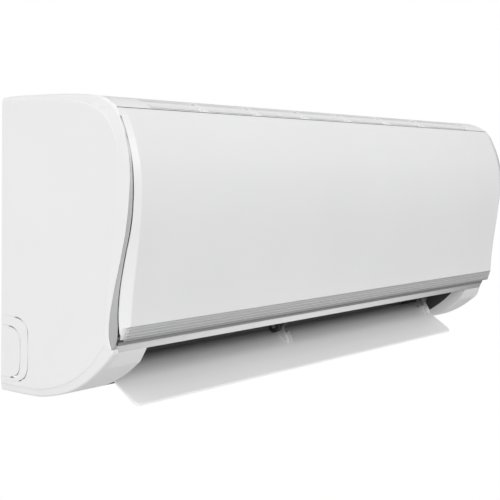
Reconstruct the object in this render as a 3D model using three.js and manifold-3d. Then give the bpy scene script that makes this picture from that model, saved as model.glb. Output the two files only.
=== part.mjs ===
// Wall-mounted indoor unit of a split air conditioner.
// Millimetres, +Z up. X runs along the width, the front faces -Y and the wall
// plane is y = 0. The origin is the centre of the mounting plate's back face.
//
// All pieces are drawn in the casing's own coordinates (y = 0 on the casing's
// back edge, z = 0 on its underside, x = 0 in the middle) inside one group,
// which is then moved so that the back of the mounting plate is the origin.

import * as THREE from 'three';
import * as BufferGeometryUtils from 'three/addons/utils/BufferGeometryUtils.js';
import Module from 'manifold-3d';

const wasm = await Module();
wasm.setup();

// ---------------------------------------------------------------- dimensions
const WIDTH = 730;            // over the two end faces
const HALF = WIDTH / 2;
const WALL_GAP = 2;           // casing back edge to the wall
const PLATE_Z = 150;          // mounting plate centre above the underside
const SIDE_IN = 361.8;        // inner face of the end walls
const END_DOME = 3;           // how far the end faces bulge
const OUT_HALF = 314.5;       // half width of the air outlet
const CHASSIS_HALF = 313.5;   // half width of the rear chassis and drain pan

const PANEL_HALF = 361;       // half width over the panel's bevelled edges
const PANEL_FACE = 354;       // half width of the panel's face
const PANEL_T = 3;
const PANEL_AXIS = [-156.8, 268.2];

const LOUVER_HALF = 308;
const LOUVER_AXIS = [-87, 33];
const LOUVER_OPEN = 55.8;     // degrees from closed to the open pose at rest

const FAN_AXIS = [-74, 118];
const FAN_R = 44;
const FAN_X0 = -303, FAN_X1 = 247;
const FAN_BLADES = 18;

const COIL_X0 = -300, COIL_X1 = 236;
const TUBE_R = 3.5;

const VANE_AXIS_Z = 56;
const VANE_PIN_DROP = 8;
const VANE_PITCH = 50;
const VANE_LEFT_X = [-270, -220, -170, -120, -70];
const VANE_RIGHT_X = [40, 90, 140, 190, 240];

// ---------------------------------------------------------------- profiles
// End profile of the casing, seen from the side as (y, z), from the top of the
// back edge over the top, down the S-shaped front edge and back underneath.
const TOP_CURVE = [
  [0, 286.2], [-30, 286.6], [-60, 286.5], [-94, 285.8], [-115, 284.8],
  [-130, 283.4], [-141, 280.9], [-148, 277.9], [-153.2, 275.1], [-157.2, 272.4],
];
const FRONT_EDGE = [
  [-159.4, 270.4], [-162.6, 266], [-167.4, 255.9], [-171.5, 246.5], [-174.5, 237.7],
  [-176.9, 228.9], [-178.3, 217.5], [-178.4, 204], [-177.4, 190], [-175.9, 176.2],
  [-172.8, 159], [-168, 141], [-162.6, 122.5], [-157.6, 104.4], [-153.7, 87],
  [-152.1, 73], [-152.6, 63.5], [-154.6, 57.5], [-157, 53.5],
];
const UNDER_CURVE = [
  [-156.4, 50.8], [-149.8, 43.3], [-142.6, 36.8], [-135.6, 31], [-121, 20.5],
  [-103.6, 11.3], [-88.6, 5.9], [-72, 1.7], [-56, -0.9], [-40, -1.8], [0, -1.8],
];
// Side outline of the panel's bevelled edge and of the face behind the bevel.
const PANEL_EDGE = [
  [-158.7, 271], [-160.9, 268.4], [-162.9, 265.4], [-167.2, 256.4], [-171.2, 247],
  [-174.3, 237.8], [-176.8, 228.9], [-178.8, 219], [-180, 207], [-180.2, 196],
  [-179.8, 184.9], [-178.6, 172], [-175.9, 158.4], [-172, 145], [-168.2, 130],
  [-164.8, 115], [-162.6, 100], [-161.6, 86], [-162.2, 76],
];
const PANEL_FRONT = [
  [-158.7, 271], [-161.4, 268.8], [-164, 265.8], [-168.9, 256.6], [-173.2, 247],
  [-176.4, 237.8], [-179, 228.9], [-181.2, 219], [-182.5, 207], [-182.8, 196],
  [-182.6, 184.9], [-181.7, 172], [-180, 158.4], [-178, 145], [-175.6, 130],
  [-173.4, 115], [-171.5, 100], [-170.2, 86], [-169.8, 76],
];
const FILTER_LINE = [
  [-157.4, 83], [-163.4, 132], [-168.4, 178], [-169.4, 203], [-167.2, 224],
  [-161.6, 243], [-151.5, 258], [-136, 267.6], [-114, 273.6], [-62, 277],
];

// ---------------------------------------------------------------- helpers
function solid(geometry) {
  let g = geometry.index ? geometry.clone() : geometry;
  g = g.clone();
  g.deleteAttribute('normal');
  g.deleteAttribute('uv');
  g = BufferGeometryUtils.mergeVertices(g, 1e-4);
  const pos = g.attributes.position.array;
  const idx = g.index.array;
  const keep = [];
  let vol = 0;
  for (let i = 0; i < idx.length; i += 3) {
    const [a, b, c] = [idx[i], idx[i + 1], idx[i + 2]];
    if (a === b || b === c || a === c) continue;
    keep.push(a, b, c);
    const p = (k) => [pos[3 * k], pos[3 * k + 1], pos[3 * k + 2]];
    const [A, B, C] = [p(a), p(b), p(c)];
    vol += A[0] * (B[1] * C[2] - B[2] * C[1]) - A[1] * (B[0] * C[2] - B[2] * C[0])
      + A[2] * (B[0] * C[1] - B[1] * C[0]);
  }
  if (vol < 0) for (let i = 0; i < keep.length; i += 3) [keep[i + 1], keep[i + 2]] = [keep[i + 2], keep[i + 1]];
  return new wasm.Manifold(new wasm.Mesh({
    numProp: 3, vertProperties: Float32Array.from(pos), triVerts: Uint32Array.from(keep),
  }));
}

function shape2(points, holes = []) {
  const s = new THREE.Shape(points.map(([u, v]) => new THREE.Vector2(u, v)));
  for (const h of holes) s.holes.push(new THREE.Path(h.map(([u, v]) => new THREE.Vector2(u, v))));
  return s;
}

// (y, z) outline carried along X from x0 to x1
const alongX = new THREE.Matrix4().set(0, 0, 1, 0, 1, 0, 0, 0, 0, 1, 0, 0, 0, 0, 0, 1);
function prism(points, x0, x1, holes = []) {
  const g = new THREE.ExtrudeGeometry(shape2(points, holes), { depth: x1 - x0, bevelEnabled: false });
  g.applyMatrix4(alongX);
  g.translate(x0, 0, 0);
  return solid(g);
}
// (x, z) outline carried along Y from y0 to y1
function slabY(points, y0, y1, holes = []) {
  const g = new THREE.ExtrudeGeometry(shape2(points, holes), { depth: y1 - y0, bevelEnabled: false });
  g.rotateX(Math.PI / 2);
  g.translate(0, y1, 0);
  return solid(g);
}
function box(x0, x1, y0, y1, z0, z1) {
  const g = new THREE.BoxGeometry(x1 - x0, y1 - y0, z1 - z0);
  g.translate((x0 + x1) / 2, (y0 + y1) / 2, (z0 + z1) / 2);
  return solid(g);
}
function rodX(x0, x1, y, z, r, n = 12) {
  const g = new THREE.CylinderGeometry(r, r, x1 - x0, n);
  g.rotateZ(Math.PI / 2);
  g.translate((x0 + x1) / 2, y, z);
  return solid(g);
}
function rodY(y0, y1, x, z, r, n = 12) {
  const g = new THREE.CylinderGeometry(r, r, y1 - y0, n);
  g.translate(x, (y0 + y1) / 2, z);
  return solid(g);
}
// turned piece about a line along X: profile as [x, radius]
function turnedX(profile, y, z, n = 24) {
  const g = new THREE.LatheGeometry(profile.map(([x, r]) => new THREE.Vector2(r, x)), n);
  g.rotateZ(-Math.PI / 2);
  g.translate(0, y, z);
  return solid(g);
}
// a route of straight stretches, one ring at each of its points
class Route extends THREE.Curve {
  constructor(points) {
    super();
    this.points = points.map((p) => new THREE.Vector3(...p));
  }
  getPoint(t) {
    const n = this.points.length - 1;
    const i = Math.min(Math.round(t * n), n);
    return this.points[i].clone();
  }
  getPointAt(u) { return this.getPoint(u); }
  getTangent(t) {
    const n = this.points.length - 1;
    const i = Math.min(Math.round(t * n), n);
    const out = new THREE.Vector3();
    if (i > 0) out.add(this.points[i].clone().sub(this.points[i - 1]).normalize());
    if (i < n) out.add(this.points[i + 1].clone().sub(this.points[i]).normalize());
    return out.normalize();
  }
  getTangentAt(u) { return this.getTangent(u); }
}
function ngon(r, n, phase = 0) {
  return Array.from({ length: n }, (_, i) => {
    const a = phase + (2 * Math.PI * i) / n;
    return [r * Math.cos(a), r * Math.sin(a)];
  });
}
function tube(points, r, n = 8) {
  const route = new Route(points);
  const g = new THREE.ExtrudeGeometry(shape2(ngon(r, n)), {
    steps: points.length - 1, bevelEnabled: false, extrudePath: route,
  });
  return solid(g);
}
// rounds the corners of a route with arcs of the given radius
function bent(points, radius, per = 4) {
  const out = [points[0]];
  for (let i = 1; i < points.length - 1; i++) {
    const p = new THREE.Vector3(...points[i]);
    const a = new THREE.Vector3(...points[i - 1]).sub(p).normalize();
    const b = new THREE.Vector3(...points[i + 1]).sub(p).normalize();
    const half = a.angleTo(b) / 2;
    const d = radius / Math.tan(half);
    const c = p.clone().add(a.clone().add(b).normalize().multiplyScalar(radius / Math.sin(half)));
    const s = p.clone().addScaledVector(a, d).sub(c);
    const e = p.clone().addScaledVector(b, d).sub(c);
    const sweep = s.angleTo(e);
    for (let k = 0; k <= per; k++) {
      const t = k / per;
      const w1 = Math.sin((1 - t) * sweep) / Math.sin(sweep);
      const w2 = Math.sin(t * sweep) / Math.sin(sweep);
      const q = s.clone().multiplyScalar(w1).add(e.clone().multiplyScalar(w2)).add(c);
      out.push([q.x, q.y, q.z]);
    }
  }
  out.push(points[points.length - 1]);
  return out;
}
// closed body through rings of [x, y, z] points, with flat end caps in (y, z)
function loft(rings) {
  const n = rings[0].length;
  const pos = rings.flat(2);
  const index = [];
  for (let k = 0; k < rings.length - 1; k++) {
    for (let i = 0; i < n; i++) {
      const a = k * n + i, b = k * n + ((i + 1) % n), c = a + n, d = b + n;
      index.push(a, c, b, b, c, d);
    }
  }
  const area = (p) => p.reduce((s, q, i) => {
    const r = p[(i + 1) % p.length];
    return s + q.x * r.y - r.x * q.y;
  }, 0);
  const cap = (ring) => {
    const flat = ring.map((p) => new THREE.Vector2(p[1], p[2]));
    const side = Math.sign(area(flat));
    return THREE.ShapeUtils.triangulateShape(flat, []).map((f) => (
      Math.sign(area(f.map((i) => flat[i]))) === side ? f : [f[0], f[2], f[1]]));
  };
  for (const f of cap(rings[0])) index.push(f[0], f[1], f[2]);
  const last = (rings.length - 1) * n;
  for (const f of cap(rings[rings.length - 1])) index.push(last + f[0], last + f[2], last + f[1]);
  const g = new THREE.BufferGeometry();
  g.setAttribute('position', new THREE.Float32BufferAttribute(pos, 3));
  g.setIndex(index);
  return solid(g);
}
// (y, z) outline moved sideways from a line of points by distance d
function shifted(line, d) {
  return line.map((p, i) => {
    const a = line[Math.max(i - 1, 0)], b = line[Math.min(i + 1, line.length - 1)];
    const t = new THREE.Vector2(b[0] - a[0], b[1] - a[1]).normalize();
    return [p[0] + t.y * d, p[1] - t.x * d];
  });
}
function band(line, d0, d1) {
  return [...shifted(line, d0), ...shifted(line, d1).reverse()];
}
const turn = ([y, z], [cy, cz], deg) => {
  const a = THREE.MathUtils.degToRad(deg);
  return [cy + (y - cy) * Math.cos(a) - (z - cz) * Math.sin(a), cz + (y - cy) * Math.sin(a) + (z - cz) * Math.cos(a)];
};
const polar = ([cy, cz], r, deg) => [cy + r * Math.cos(deg * Math.PI / 180), cz + r * Math.sin(deg * Math.PI / 180)];
const union = (...m) => m.reduce((a, b) => a.add(b));

// ---------------------------------------------------------------- materials
const mat = (color, roughness, metalness = 0) => new THREE.MeshStandardMaterial({ color, roughness, metalness });
const WHITE = () => mat(0xeef0f0, 0.42);
const FACE = () => mat(0xe9ebeb, 0.35);
const SILVER = () => mat(0xb9bcbd, 0.34, 0.85);
const SATIN = () => mat(0x9fa2a4, 0.38, 0.8);
const GREY = () => mat(0x8d9194, 0.5);
const DARK = () => mat(0x3c4043, 0.55);
const ZINC = () => mat(0xaab0b4, 0.42, 0.9);
const ALU = () => mat(0xc3c8cc, 0.4, 0.9);
const COPPER = () => mat(0xb8704a, 0.35, 1);
const BRASS = () => mat(0xc2a24e, 0.32, 1);
const STEEL = () => mat(0xb5b8ba, 0.3, 1);
const RUBBER = () => mat(0x2b2b2c, 0.8);
const BOARD = () => mat(0x2d6b42, 0.5);

const unit = new THREE.Group();
unit.position.set(0, -WALL_GAP, -PLATE_Z);

function piece(name, manifold, material) {
  const m = manifold.getMesh();
  const g = new THREE.BufferGeometry();
  const n = m.numProp;
  const src = m.vertProperties;
  const pos = new Float32Array((src.length / n) * 3);
  for (let i = 0; i < src.length / n; i++) for (let k = 0; k < 3; k++) pos[3 * i + k] = src[n * i + k];
  g.setAttribute('position', new THREE.BufferAttribute(pos, 3));
  g.setIndex(new THREE.BufferAttribute(Uint32Array.from(m.triVerts), 1));
  g.computeVertexNormals();
  const mesh = new THREE.Mesh(g, material);
  mesh.name = name;
  unit.add(mesh);
  return mesh;
}

// ---------------------------------------------------------------- front frame
// One moulded shell: two domed end walls, the top with its intake grille, the
// cheeks beside the outlet, the lower bar and the ribs that carry the filters.
const OUTLINE = [...TOP_CURVE, ...FRONT_EDGE, ...UNDER_CURVE];
// the flat of an end face: the outline drawn in, 13 mm at the front and 7 mm
// at the top and bottom, and not at all on the back edge
function drawnIn(t) {
  return OUTLINE.map(([y, z]) => [y * (1 - (13 / 178) * t), 143 + (z - 143) * (1 - (7 / 144) * t)]);
}
function endRings(sign) {
  const steps = [[HALF, 1], [HALF - 0.7, 0.45], [HALF - END_DOME, 0]];
  return steps.map(([x, t]) => drawnIn(t).map(([y, z]) => [sign * x, y, z]));
}
const rightRings = endRings(1);
const leftRings = endRings(-1);
let frame = loft([...leftRings, ...rightRings.reverse()]);

const CAVITY = [
  [6, 0.8], [-40, 0.8], [-58, 1.9], [-72, 4.4], [-88.6, 8.6], [-103.6, 14], [-121, 23.4],
  [-135.6, 34], [-146.6, 44.4], [-152.3, 50.4], [-153, 57.5], [-210, 57.5], [-210, 272.4],
  [-157.2, 272.4], [-154.3, 271.9], [-152, 273.1], [-147, 275.8], [-140, 278.5], [-129.5, 280.9],
  [-115, 282.2], [-94, 283.2], [-60, 283.9], [6, 283.9],
];
frame = frame.subtract(prism(CAVITY, -SIDE_IN, SIDE_IN));
// everything between the cheeks and below the bar belongs to the outlet
frame = frame.subtract(box(-OUT_HALF, OUT_HALF, -210, 6, -10, 64));
frame = frame.subtract(box(-356.6, 356.6, -210, -151.2, -10, 64));

const BAR = [
  [-153.7, 62.3], [-147.9, 50.5], [-146.3, 47], [-144.3, 48], [-145.6, 51.5], [-150.6, 61.3],
  [-150.6, 65], [-153.7, 65],
];
frame = frame.add(prism(BAR, -358.7, 358.7));
const CHEEK = [
  [-40, -1], [-56, -0.3], [-72, 2.4], [-88.6, 6.6], [-103.6, 12], [-121, 21.2], [-135.6, 31.8],
  [-148.4, 43.4], [-149.6, 48.6], [-147.2, 49.8], [-152.4, 60.4], [-151.4, 62], [-40, 60],
];
const CHEEK_LEFT = prism(CHEEK, -317, -OUT_HALF);
const CHEEK_RIGHT = prism(CHEEK, OUT_HALF, 317);
frame = frame.add(CHEEK_LEFT).add(CHEEK_RIGHT);
frame = frame.subtract(rodX(-318, -313, ...LOUVER_AXIS, 3.1, 12));
frame = frame.subtract(rodX(313, 318, ...LOUVER_AXIS, 3.1, 12));

// filter guides: curved ribs from the lower bar to the underside of the top
const GUIDE = [[-153, 63.4], ...shifted(FILTER_LINE, 2.9), ...shifted(FILTER_LINE, 7.4).reverse(), [-150.8, 63.4]];
const TOP_TIE = [[-60, 285], [-60, 270], [-72, 266.5], [-72, 285]];
for (const [x0, x1] of [[-311, -307], [-28.6, -25], [251.6, 255.6]]) {
  frame = frame.add(prism(GUIDE, x0, x1));
  frame = frame.add(prism(TOP_TIE, x0, x1));
}
// lugs for the two fixing screws, on top of the bar
for (const x of [-200, 200]) {
  frame = frame.add(box(x - 7, x + 7, -153.6, -151, 63, 79));
  frame = frame.subtract(rodY(-155, -150, x, 72, 2.3, 10));
}
// intake grille: rows of slots between cross ribs
const GRILLE_ROWS = [[-156.1, -150.5], [-145.3, -137], [-131.5, -122.5], [-117, -107.5], [-101.5, -92],
  [-86, -76.5], [-58, -48.5], [-42.5, -33]];
const GRILLE_RIBS = [-320, -238, -155, -70, 16, 102, 188, 318];
for (const [y0, y1] of GRILLE_ROWS) {
  const z0 = y1 < -149 ? 272.9 : 275.5;
  for (let i = 0; i < GRILLE_RIBS.length - 1; i++) {
    frame = frame.subtract(box(GRILLE_RIBS[i] + 3, GRILLE_RIBS[i + 1] - 3, y0, y1, z0, 288));
  }
}

// pocket for the side trims, and sockets for the panel's pivots
const TRIM_FRONT = [
  [-156, 54.3], [-159.2, 60.6], [-161.2, 66], [-161.4, 72], [-160.9, 77], [-160.4, 86], [-161.4, 100],
  [-163.6, 115], [-167, 130], [-170.8, 145], [-174.7, 158.4], [-177.4, 172], [-178.6, 184.9],
  [-179, 196], [-178.8, 207], [-177.6, 219], [-175.6, 228.9], [-173.3, 236],
];
const TRIM_BACK = [
  [-166, 236], [-168.6, 220], [-169.2, 203], [-167.8, 186], [-165.2, 168], [-160.6, 149],
  [-155.6, 131], [-150.4, 113], [-146, 95], [-143.4, 78], [-144.4, 64], [-149.8, 54.8],
];
const TRIM = [...TRIM_FRONT, ...TRIM_BACK];
const TRIM_POCKET = [
  [-158.6, 53.9], ...TRIM_FRONT.slice(1, -1).map(([y, z]) => [y - 6, z]), [-180, 236.6], [-165.4, 236.6],
  ...TRIM_BACK.slice(1).map(([y, z]) => [y + 0.5, z]), [-149.6, 53.9],
];
frame = frame.subtract(prism(TRIM_POCKET, -SIDE_IN, -358.7)).subtract(prism(TRIM_POCKET, 358.7, SIDE_IN));
frame = frame.subtract(rodX(-363.4, -360, ...PANEL_AXIS, 2.0, 12)).subtract(rodX(360, 363.4, ...PANEL_AXIS, 2.0, 12));
// scored pipe outlets in both end walls: short through slots along two nested
// rounded outlines at the lower back corner
const KNOCK = [
  [-31, -20, 72.4, 73.4], [-41.4, -40.4, 50, 61], [-41.4, -40.4, 21, 33], [-36, -27, 10.4, 11.4],
  [-20.5, -12, 61.8, 62.8], [-29.8, -28.8, 42, 50.5], [-29.8, -28.8, 19.5, 31], [-24, -14, 9.6, 10.6],
];
for (const [y0, y1, z0, z1] of KNOCK) {
  frame = frame.subtract(box(-370, -355, y0, y1, z0, z1)).subtract(box(355, 370, y0, y1, z0, z1));
}
piece('front_frame', frame, WHITE());

// ---------------------------------------------------------------- trims
piece('side_trim_left', prism(TRIM, -361.4, -359.2), SILVER());
piece('side_trim_right', prism(TRIM, 359.2, 361.4), SILVER());
const STRIP = [[-156.3, 61.3], [-150.3, 49.3], [-148.4, 50.2], [-154.2, 62]];
piece('lower_trim_strip', prism(STRIP, -356, 356), SILVER());

// ---------------------------------------------------------------- front panel
const PANEL_IN = [
  [-157.6, 267.6], [-159.6, 264.6], [-165.4, 255], [-169.9, 245.6], [-173.2, 236.8], [-175.9, 228],
  [-178, 218.4], [-179.4, 206.8], [-179.8, 196], [-179.5, 185.2], [-178.6, 172.5], [-177, 158.9],
  [-175, 145.5], [-172.6, 130.5], [-170.4, 115.5], [-168.5, 100.4], [-167.2, 86.2], [-165.6, 76.4], [-160.6, 63.4],
];
// behind the outer lip of the bevel the panel is only a thin rim
const EDGE_IN = shifted(PANEL_EDGE, -0.6);
const BACKED = [[-167, 75.6], [-162.2, 63.2]];
function panelRing(x, t, rim) {
  // t = 0 on the face, 1 on the outer edge of the bevel
  const mix = (a, b) => a.map((p, i) => [p[0] + (b[i][0] - p[0]) * t, p[1] + (b[i][1] - p[1]) * t]);
  const front = mix(PANEL_FRONT, PANEL_EDGE);
  const low = mix([[-169.8, 75.6], ...BACKED], [[-162.8, 74], [-163.1, 71.5], [-163.5, 69]]);
  const back = (rim ? [...EDGE_IN.slice(0, 18), [-162.6, 70]] : PANEL_IN).slice().reverse();
  return [...front, ...low, ...back].map(([y, z]) => [x, y, z]);
}
const panelBody = loft([
  panelRing(-PANEL_HALF, 1, true), panelRing(-358.9, 0.7, true), panelRing(-358.6, 0.657, false),
  panelRing(-PANEL_FACE, 0, false), panelRing(PANEL_FACE, 0, false), panelRing(358.6, 0.657, false),
  panelRing(358.9, 0.7, true), panelRing(PANEL_HALF, 1, true),
]);
let panel = panelBody;
for (const s of [-1, 1]) {
  const web = prism([[-159.4, 269.2], [-156.8, 270.2], [-154.8, 268.2], [-156, 265.6], [-160, 262], [-164.4, 255], [-166, 256], [-163, 263]],
    s < 0 ? -358.4 : 354.4, s < 0 ? -354.4 : 358.4);
  panel = panel.add(web).add(rodX(s < 0 ? -363.1 : 356, s < 0 ? -356 : 363.1, ...PANEL_AXIS, 1.6, 12));
}
piece('front_panel', panel, FACE());
const CHAMFER = [
  [-169.8, 75.2], [-168.9, 73.6], [-168.2, 73.4], [-167.4, 70.6], [-166.7, 70.3], [-164.4, 62.6],
  [-162.7, 63.0], [-167.5, 75.2],
];
piece('panel_lower_trim', prism(CHAMFER, -354, 354), SATIN());

// ---------------------------------------------------------------- rear chassis
const SCROLL_IN = [
  [-64, 1.3], [-53.5, 6.5], [-47.5, 20], [-46.5, 32], [-46.5, 44], [-44.5, 56],
  polar(FAN_AXIS, 61, -57), polar(FAN_AXIS, 57, -45), polar(FAN_AXIS, 54, -30), polar(FAN_AXIS, 51.5, -10),
  polar(FAN_AXIS, 50, 10), polar(FAN_AXIS, 49, 30), polar(FAN_AXIS, 48, 52),
];
const CHASSIS = [
  [0, -1.5], [-62, -1.5], [-64.5, 0], ...SCROLL_IN, [-46.8, 160], [-47, 174], [-44.4, 174], [-43.7, 167.5],
  [-3, 167.5], [-3, 262], [0, 262], [0, 164.5], [-38.5, 164.5], polar(FAN_AXIS, 51, 52), polar(FAN_AXIS, 52, 30),
  polar(FAN_AXIS, 53, 10), polar(FAN_AXIS, 54.5, -10), polar(FAN_AXIS, 57, -30), polar(FAN_AXIS, 60, -45),
  [-38.6, 64.6], [-38, 63], [0, 63], [0, 60], [-40.6, 60], [-43.4, 44], [-43.5, 32], [-44.6, 20],
  [-51, 4.5], [-52, 1.5], [0, 1.5],
];
let chassis = prism(CHASSIS, -CHASSIS_HALF, CHASSIS_HALF);
chassis = chassis.add(box(-359, 359, -3, 0, 63, 262));
const END_PLATE = [
  [-43, 64], [-36, 75], [-25.4, 91], [-21.8, 109.1], [-23.2, 127], [-30.2, 143], [-43.4, 157], [-46, 170],
  [-90, 166], [-111, 148], [-112, 97], [-112.5, 76], [-62, 62],
];
chassis = chassis.add(prism(END_PLATE, -312.5, -309.5)).add(prism(END_PLATE, 251, 254));
chassis = chassis.subtract(rodX(-314, -308, ...FAN_AXIS, 12.6, 20)).subtract(rodX(250, 255, ...FAN_AXIS, 20, 20));
// ribs across the hollow back, and slots for the hooks of the mounting plate
for (const x of [-312, -260, -208, -156, -104, -52, 0, 52, 104, 156, 208, 260, 312]) {
  chassis = chassis.add(prism([[-0.2, 62], [-0.2, 165], [-39, 165], [-41.6, 158.4], [-28.4, 144], [-21, 127.2],
    [-19.6, 108.5], [-24, 89.5], [-31, 75.6], [-38, 64]], x - 1.2, x + 1.2));
}
for (const x of [-180, 180]) {
  chassis = chassis.subtract(box(x - 13, x + 13, -5, 1, 240, 254));
}
piece('rear_chassis', chassis, GREY());

// ---------------------------------------------------------------- mounting plate
const rect = (x0, x1, z0, z1) => [[x0, z0], [x1, z0], [x1, z1], [x0, z1]];
const slot = (x0, x1, z0, z1) => {
  const c = Math.min(x1 - x0, z1 - z0) * 0.3;
  return [[x0 + c, z0], [x1 - c, z0], [x1, z0 + c], [x1, z1 - c], [x1 - c, z1], [x0 + c, z1], [x0, z1 - c], [x0, z0 + c]];
};
const disc = (x, z, r, n = 8) => ngon(r, n, Math.PI / n).map(([u, v]) => [x + u, z + v]);
const plateHoles = [
  slot(-240, -202, 100, 200), slot(-188, -150, 100, 200), slot(-125, -45, 100, 128), slot(-125, -45, 172, 200),
  slot(45, 125, 100, 128), slot(45, 125, 172, 200), slot(150, 188, 100, 200), slot(202, 240, 100, 200),
  disc(-252, 240, 2.6), disc(252, 240, 2.6), disc(-252, 72, 2.6), disc(252, 72, 2.6),
  disc(-90, 240, 2.6), disc(90, 240, 2.6), disc(-90, 72, 2.6), disc(90, 72, 2.6), disc(0, 218, 4),
];
let plate = slabY([[-264, 62], [264, 62], [268, 66], [268, 240], [258, 250], [-258, 250], [-268, 240], [-268, 66]],
  0.8, WALL_GAP, plateHoles);
for (const x of [-180, 180]) {
  plate = plate.add(box(x - 10, x + 10, -7.2, 1.4, 243.2, 244.6)).add(box(x - 10, x + 10, -7.2, -5.8, 243.2, 252));
}
piece('mounting_plate', plate, ZINC());

// ---------------------------------------------------------------- drain pan
const PAN_OUT = [
  [-149.3, 86], [-149.3, 63.5], [-143.2, 52.3], [-140.8, 52.3], [-131, 62], [-122, 73.5], [-117.5, 82],
  [-115.3, 92], [-117.2, 95],
];
const PAN = [...PAN_OUT, [-119.6, 92], [-121, 81], [-128, 72], [-146.8, 69], [-146.8, 86]];
let pan = prism(PAN, -CHASSIS_HALF, CHASSIS_HALF);
pan = pan.add(prism(PAN_OUT, -CHASSIS_HALF, -311.3)).add(prism(PAN_OUT, 257, 259.2));
// middle bearing of the louver, hanging under the pan
const HANGER = [[-130, 65.5], [-119, 81], [-80.5, 38], [-80.3, 29.6], [-84.6, 26.2], [-90.4, 26.6], [-94, 31.5]];
pan = pan.add(prism(HANGER, -34, -31).subtract(rodX(-35, -30, ...LOUVER_AXIS, 2.9, 12)));
// drain spigot out of the left end
pan = pan.add(rodX(-336, -312, -137, 77.5, 8, 14)).subtract(rodX(-337, -300, -137, 77.5, 5.6, 12));
for (const x of [-200, 200]) pan = pan.subtract(rodY(-150, -146, x, 72.4, 1.9, 8));
piece('drain_pan', pan, GREY());

for (const [name, x] of [['frame_screw_left', -200], ['frame_screw_right', 200]]) {
  let s = rodY(-156.2, -154, x, 72, 4, 12).add(rodY(-154.2, -144, x, 72, 1.5, 8));
  s = s.subtract(box(x - 3, x + 3, -157, -155.3, 71.5, 72.5)).subtract(box(x - 0.5, x + 0.5, -157, -155.3, 69, 75));
  piece(name, s, STEEL());
}

// ---------------------------------------------------------------- evaporator
const COIL_LOWER = [[-145, 78], [-123.4, 82.4], [-123.4, 155.4], [-145, 161]];
const COIL_UPPER = [[-145, 163.4], [-123.2, 157.8], [-68, 237.6], [-86, 250]];
const COIL_REAR = [[-66.3, 238.6], [-39, 178], [-19, 187], [-47, 248.5]];
const upDir = [0.568, 0.823], rearDir = [0.414, -0.910];
const TUBES = [
  [-134.2, 91], [-134.2, 110.5], [-134.2, 130], [-134.2, 149.5],
  ...[12, 32, 52, 72, 90].map((s) => [-134.1 + upDir[0] * s, 160.6 + upDir[1] * s]),
  ...[12, 32.5, 53].map((s) => [-56.7 + rearDir[0] * s, 243.5 + rearDir[1] * s]),
];
const bores = TUBES.map(([y, z]) => ngon(TUBE_R + 0.85, 6, 0).map(([u, v]) => [y + u, z + v]));
const coilPack = (poly, list) => prism(poly, COIL_X0, COIL_X1, list);
piece('coil_front_lower', coilPack(COIL_LOWER, bores.slice(0, 4)), ALU());
piece('coil_front_upper', coilPack(COIL_UPPER, bores.slice(4, 9)), ALU());
piece('coil_rear', coilPack(COIL_REAR, bores.slice(9)), ALU());
const COIL_PLATE = [
  [-146.4, 80], [-122.4, 84.4], [-122.4, 157.4], [-67.4, 236], [-39.6, 176], [-17.4, 186], [-46.6, 250.4],
  [-66.6, 240.8], [-86, 252], [-146.4, 163.8],
];
piece('coil_end_plate_left', prism(COIL_PLATE, COIL_X0 - 1.8, COIL_X0 - 0.5, bores), ZINC());
piece('coil_end_plate_right', prism(COIL_PLATE, COIL_X1 + 0.5, COIL_X1 + 1.8, bores), ZINC());

// one continuous tube: straight runs through the fins and bends at both ends
const XL = COIL_X0 - 3.4, XR = COIL_X1 + 3.4, BACK_X = 247.5;
const tubeRoute = [[BACK_X, ...TUBES[0]]];
for (let i = 0; i < TUBES.length; i++) {
  const goingLeft = i % 2 === 0;
  if (i > 0) tubeRoute.push([goingLeft ? XR : XL, ...TUBES[i]]);
  if (i < TUBES.length - 1) {
    const x = goingLeft ? XL : XR;
    tubeRoute.push([x, ...TUBES[i]]);
    const [y0, z0] = TUBES[i], [y1, z1] = TUBES[i + 1];
    const r = Math.hypot(y1 - y0, z1 - z0) / 2;
    const s = goingLeft ? -1 : 1;
    for (const deg of [36, 72, 108, 144]) {
      const a = (deg * Math.PI) / 180;
      const k = (1 - Math.cos(a)) / 2;
      tubeRoute.push([x + s * Math.min(r, 9) * Math.sin(a), y0 + (y1 - y0) * k, z0 + (z1 - z0) * k]);
    }
  } else {
    tubeRoute.push([BACK_X, ...TUBES[i]]);
  }
}
piece('coil_tube', tube(tubeRoute, TUBE_R, 6), COPPER());

// ---------------------------------------------------------------- pipes
const gasRoute = bent([
  [BACK_X + 0.4, ...TUBES[11]], [338, ...TUBES[11]], [338, -22, 150], [338, -22, 42], [-334, -22, 42],
], 16, 4);
piece('gas_pipe', tube(gasRoute, 4.8, 10), COPPER());
const liquidRoute = bent([
  [BACK_X + 0.4, ...TUBES[0]], [258, ...TUBES[0]], [258, TUBES[0][0], 178], [258, -84, 188], [351, -84, 188],
  [351, -14, 160], [351, -14, 18], [-334, -14, 18],
], 8, 3);
piece('liquid_pipe', tube(liquidRoute, 3.2, 8), COPPER());
const nut = (x, y, z, r, bore) => {
  const hex = ngon(r, 6, 0).map(([u, v]) => [y + u, z + v]);
  return prism(hex, x - 17, x).subtract(rodX(x - 18, x + 1, y, z, bore, 12));
};
piece('flare_nut_gas', nut(-316, -22, 42, 10.5, 5.2), BRASS());
piece('flare_nut_liquid', nut(-316, -14, 18, 8.5, 3.6), BRASS());
let clamp = box(-286, -262, -38.5, -35, 6, 56).add(box(-286, -262, -35.6, -1.5, 28, 31));
piece('pipe_clamp', clamp, GREY());

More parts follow.
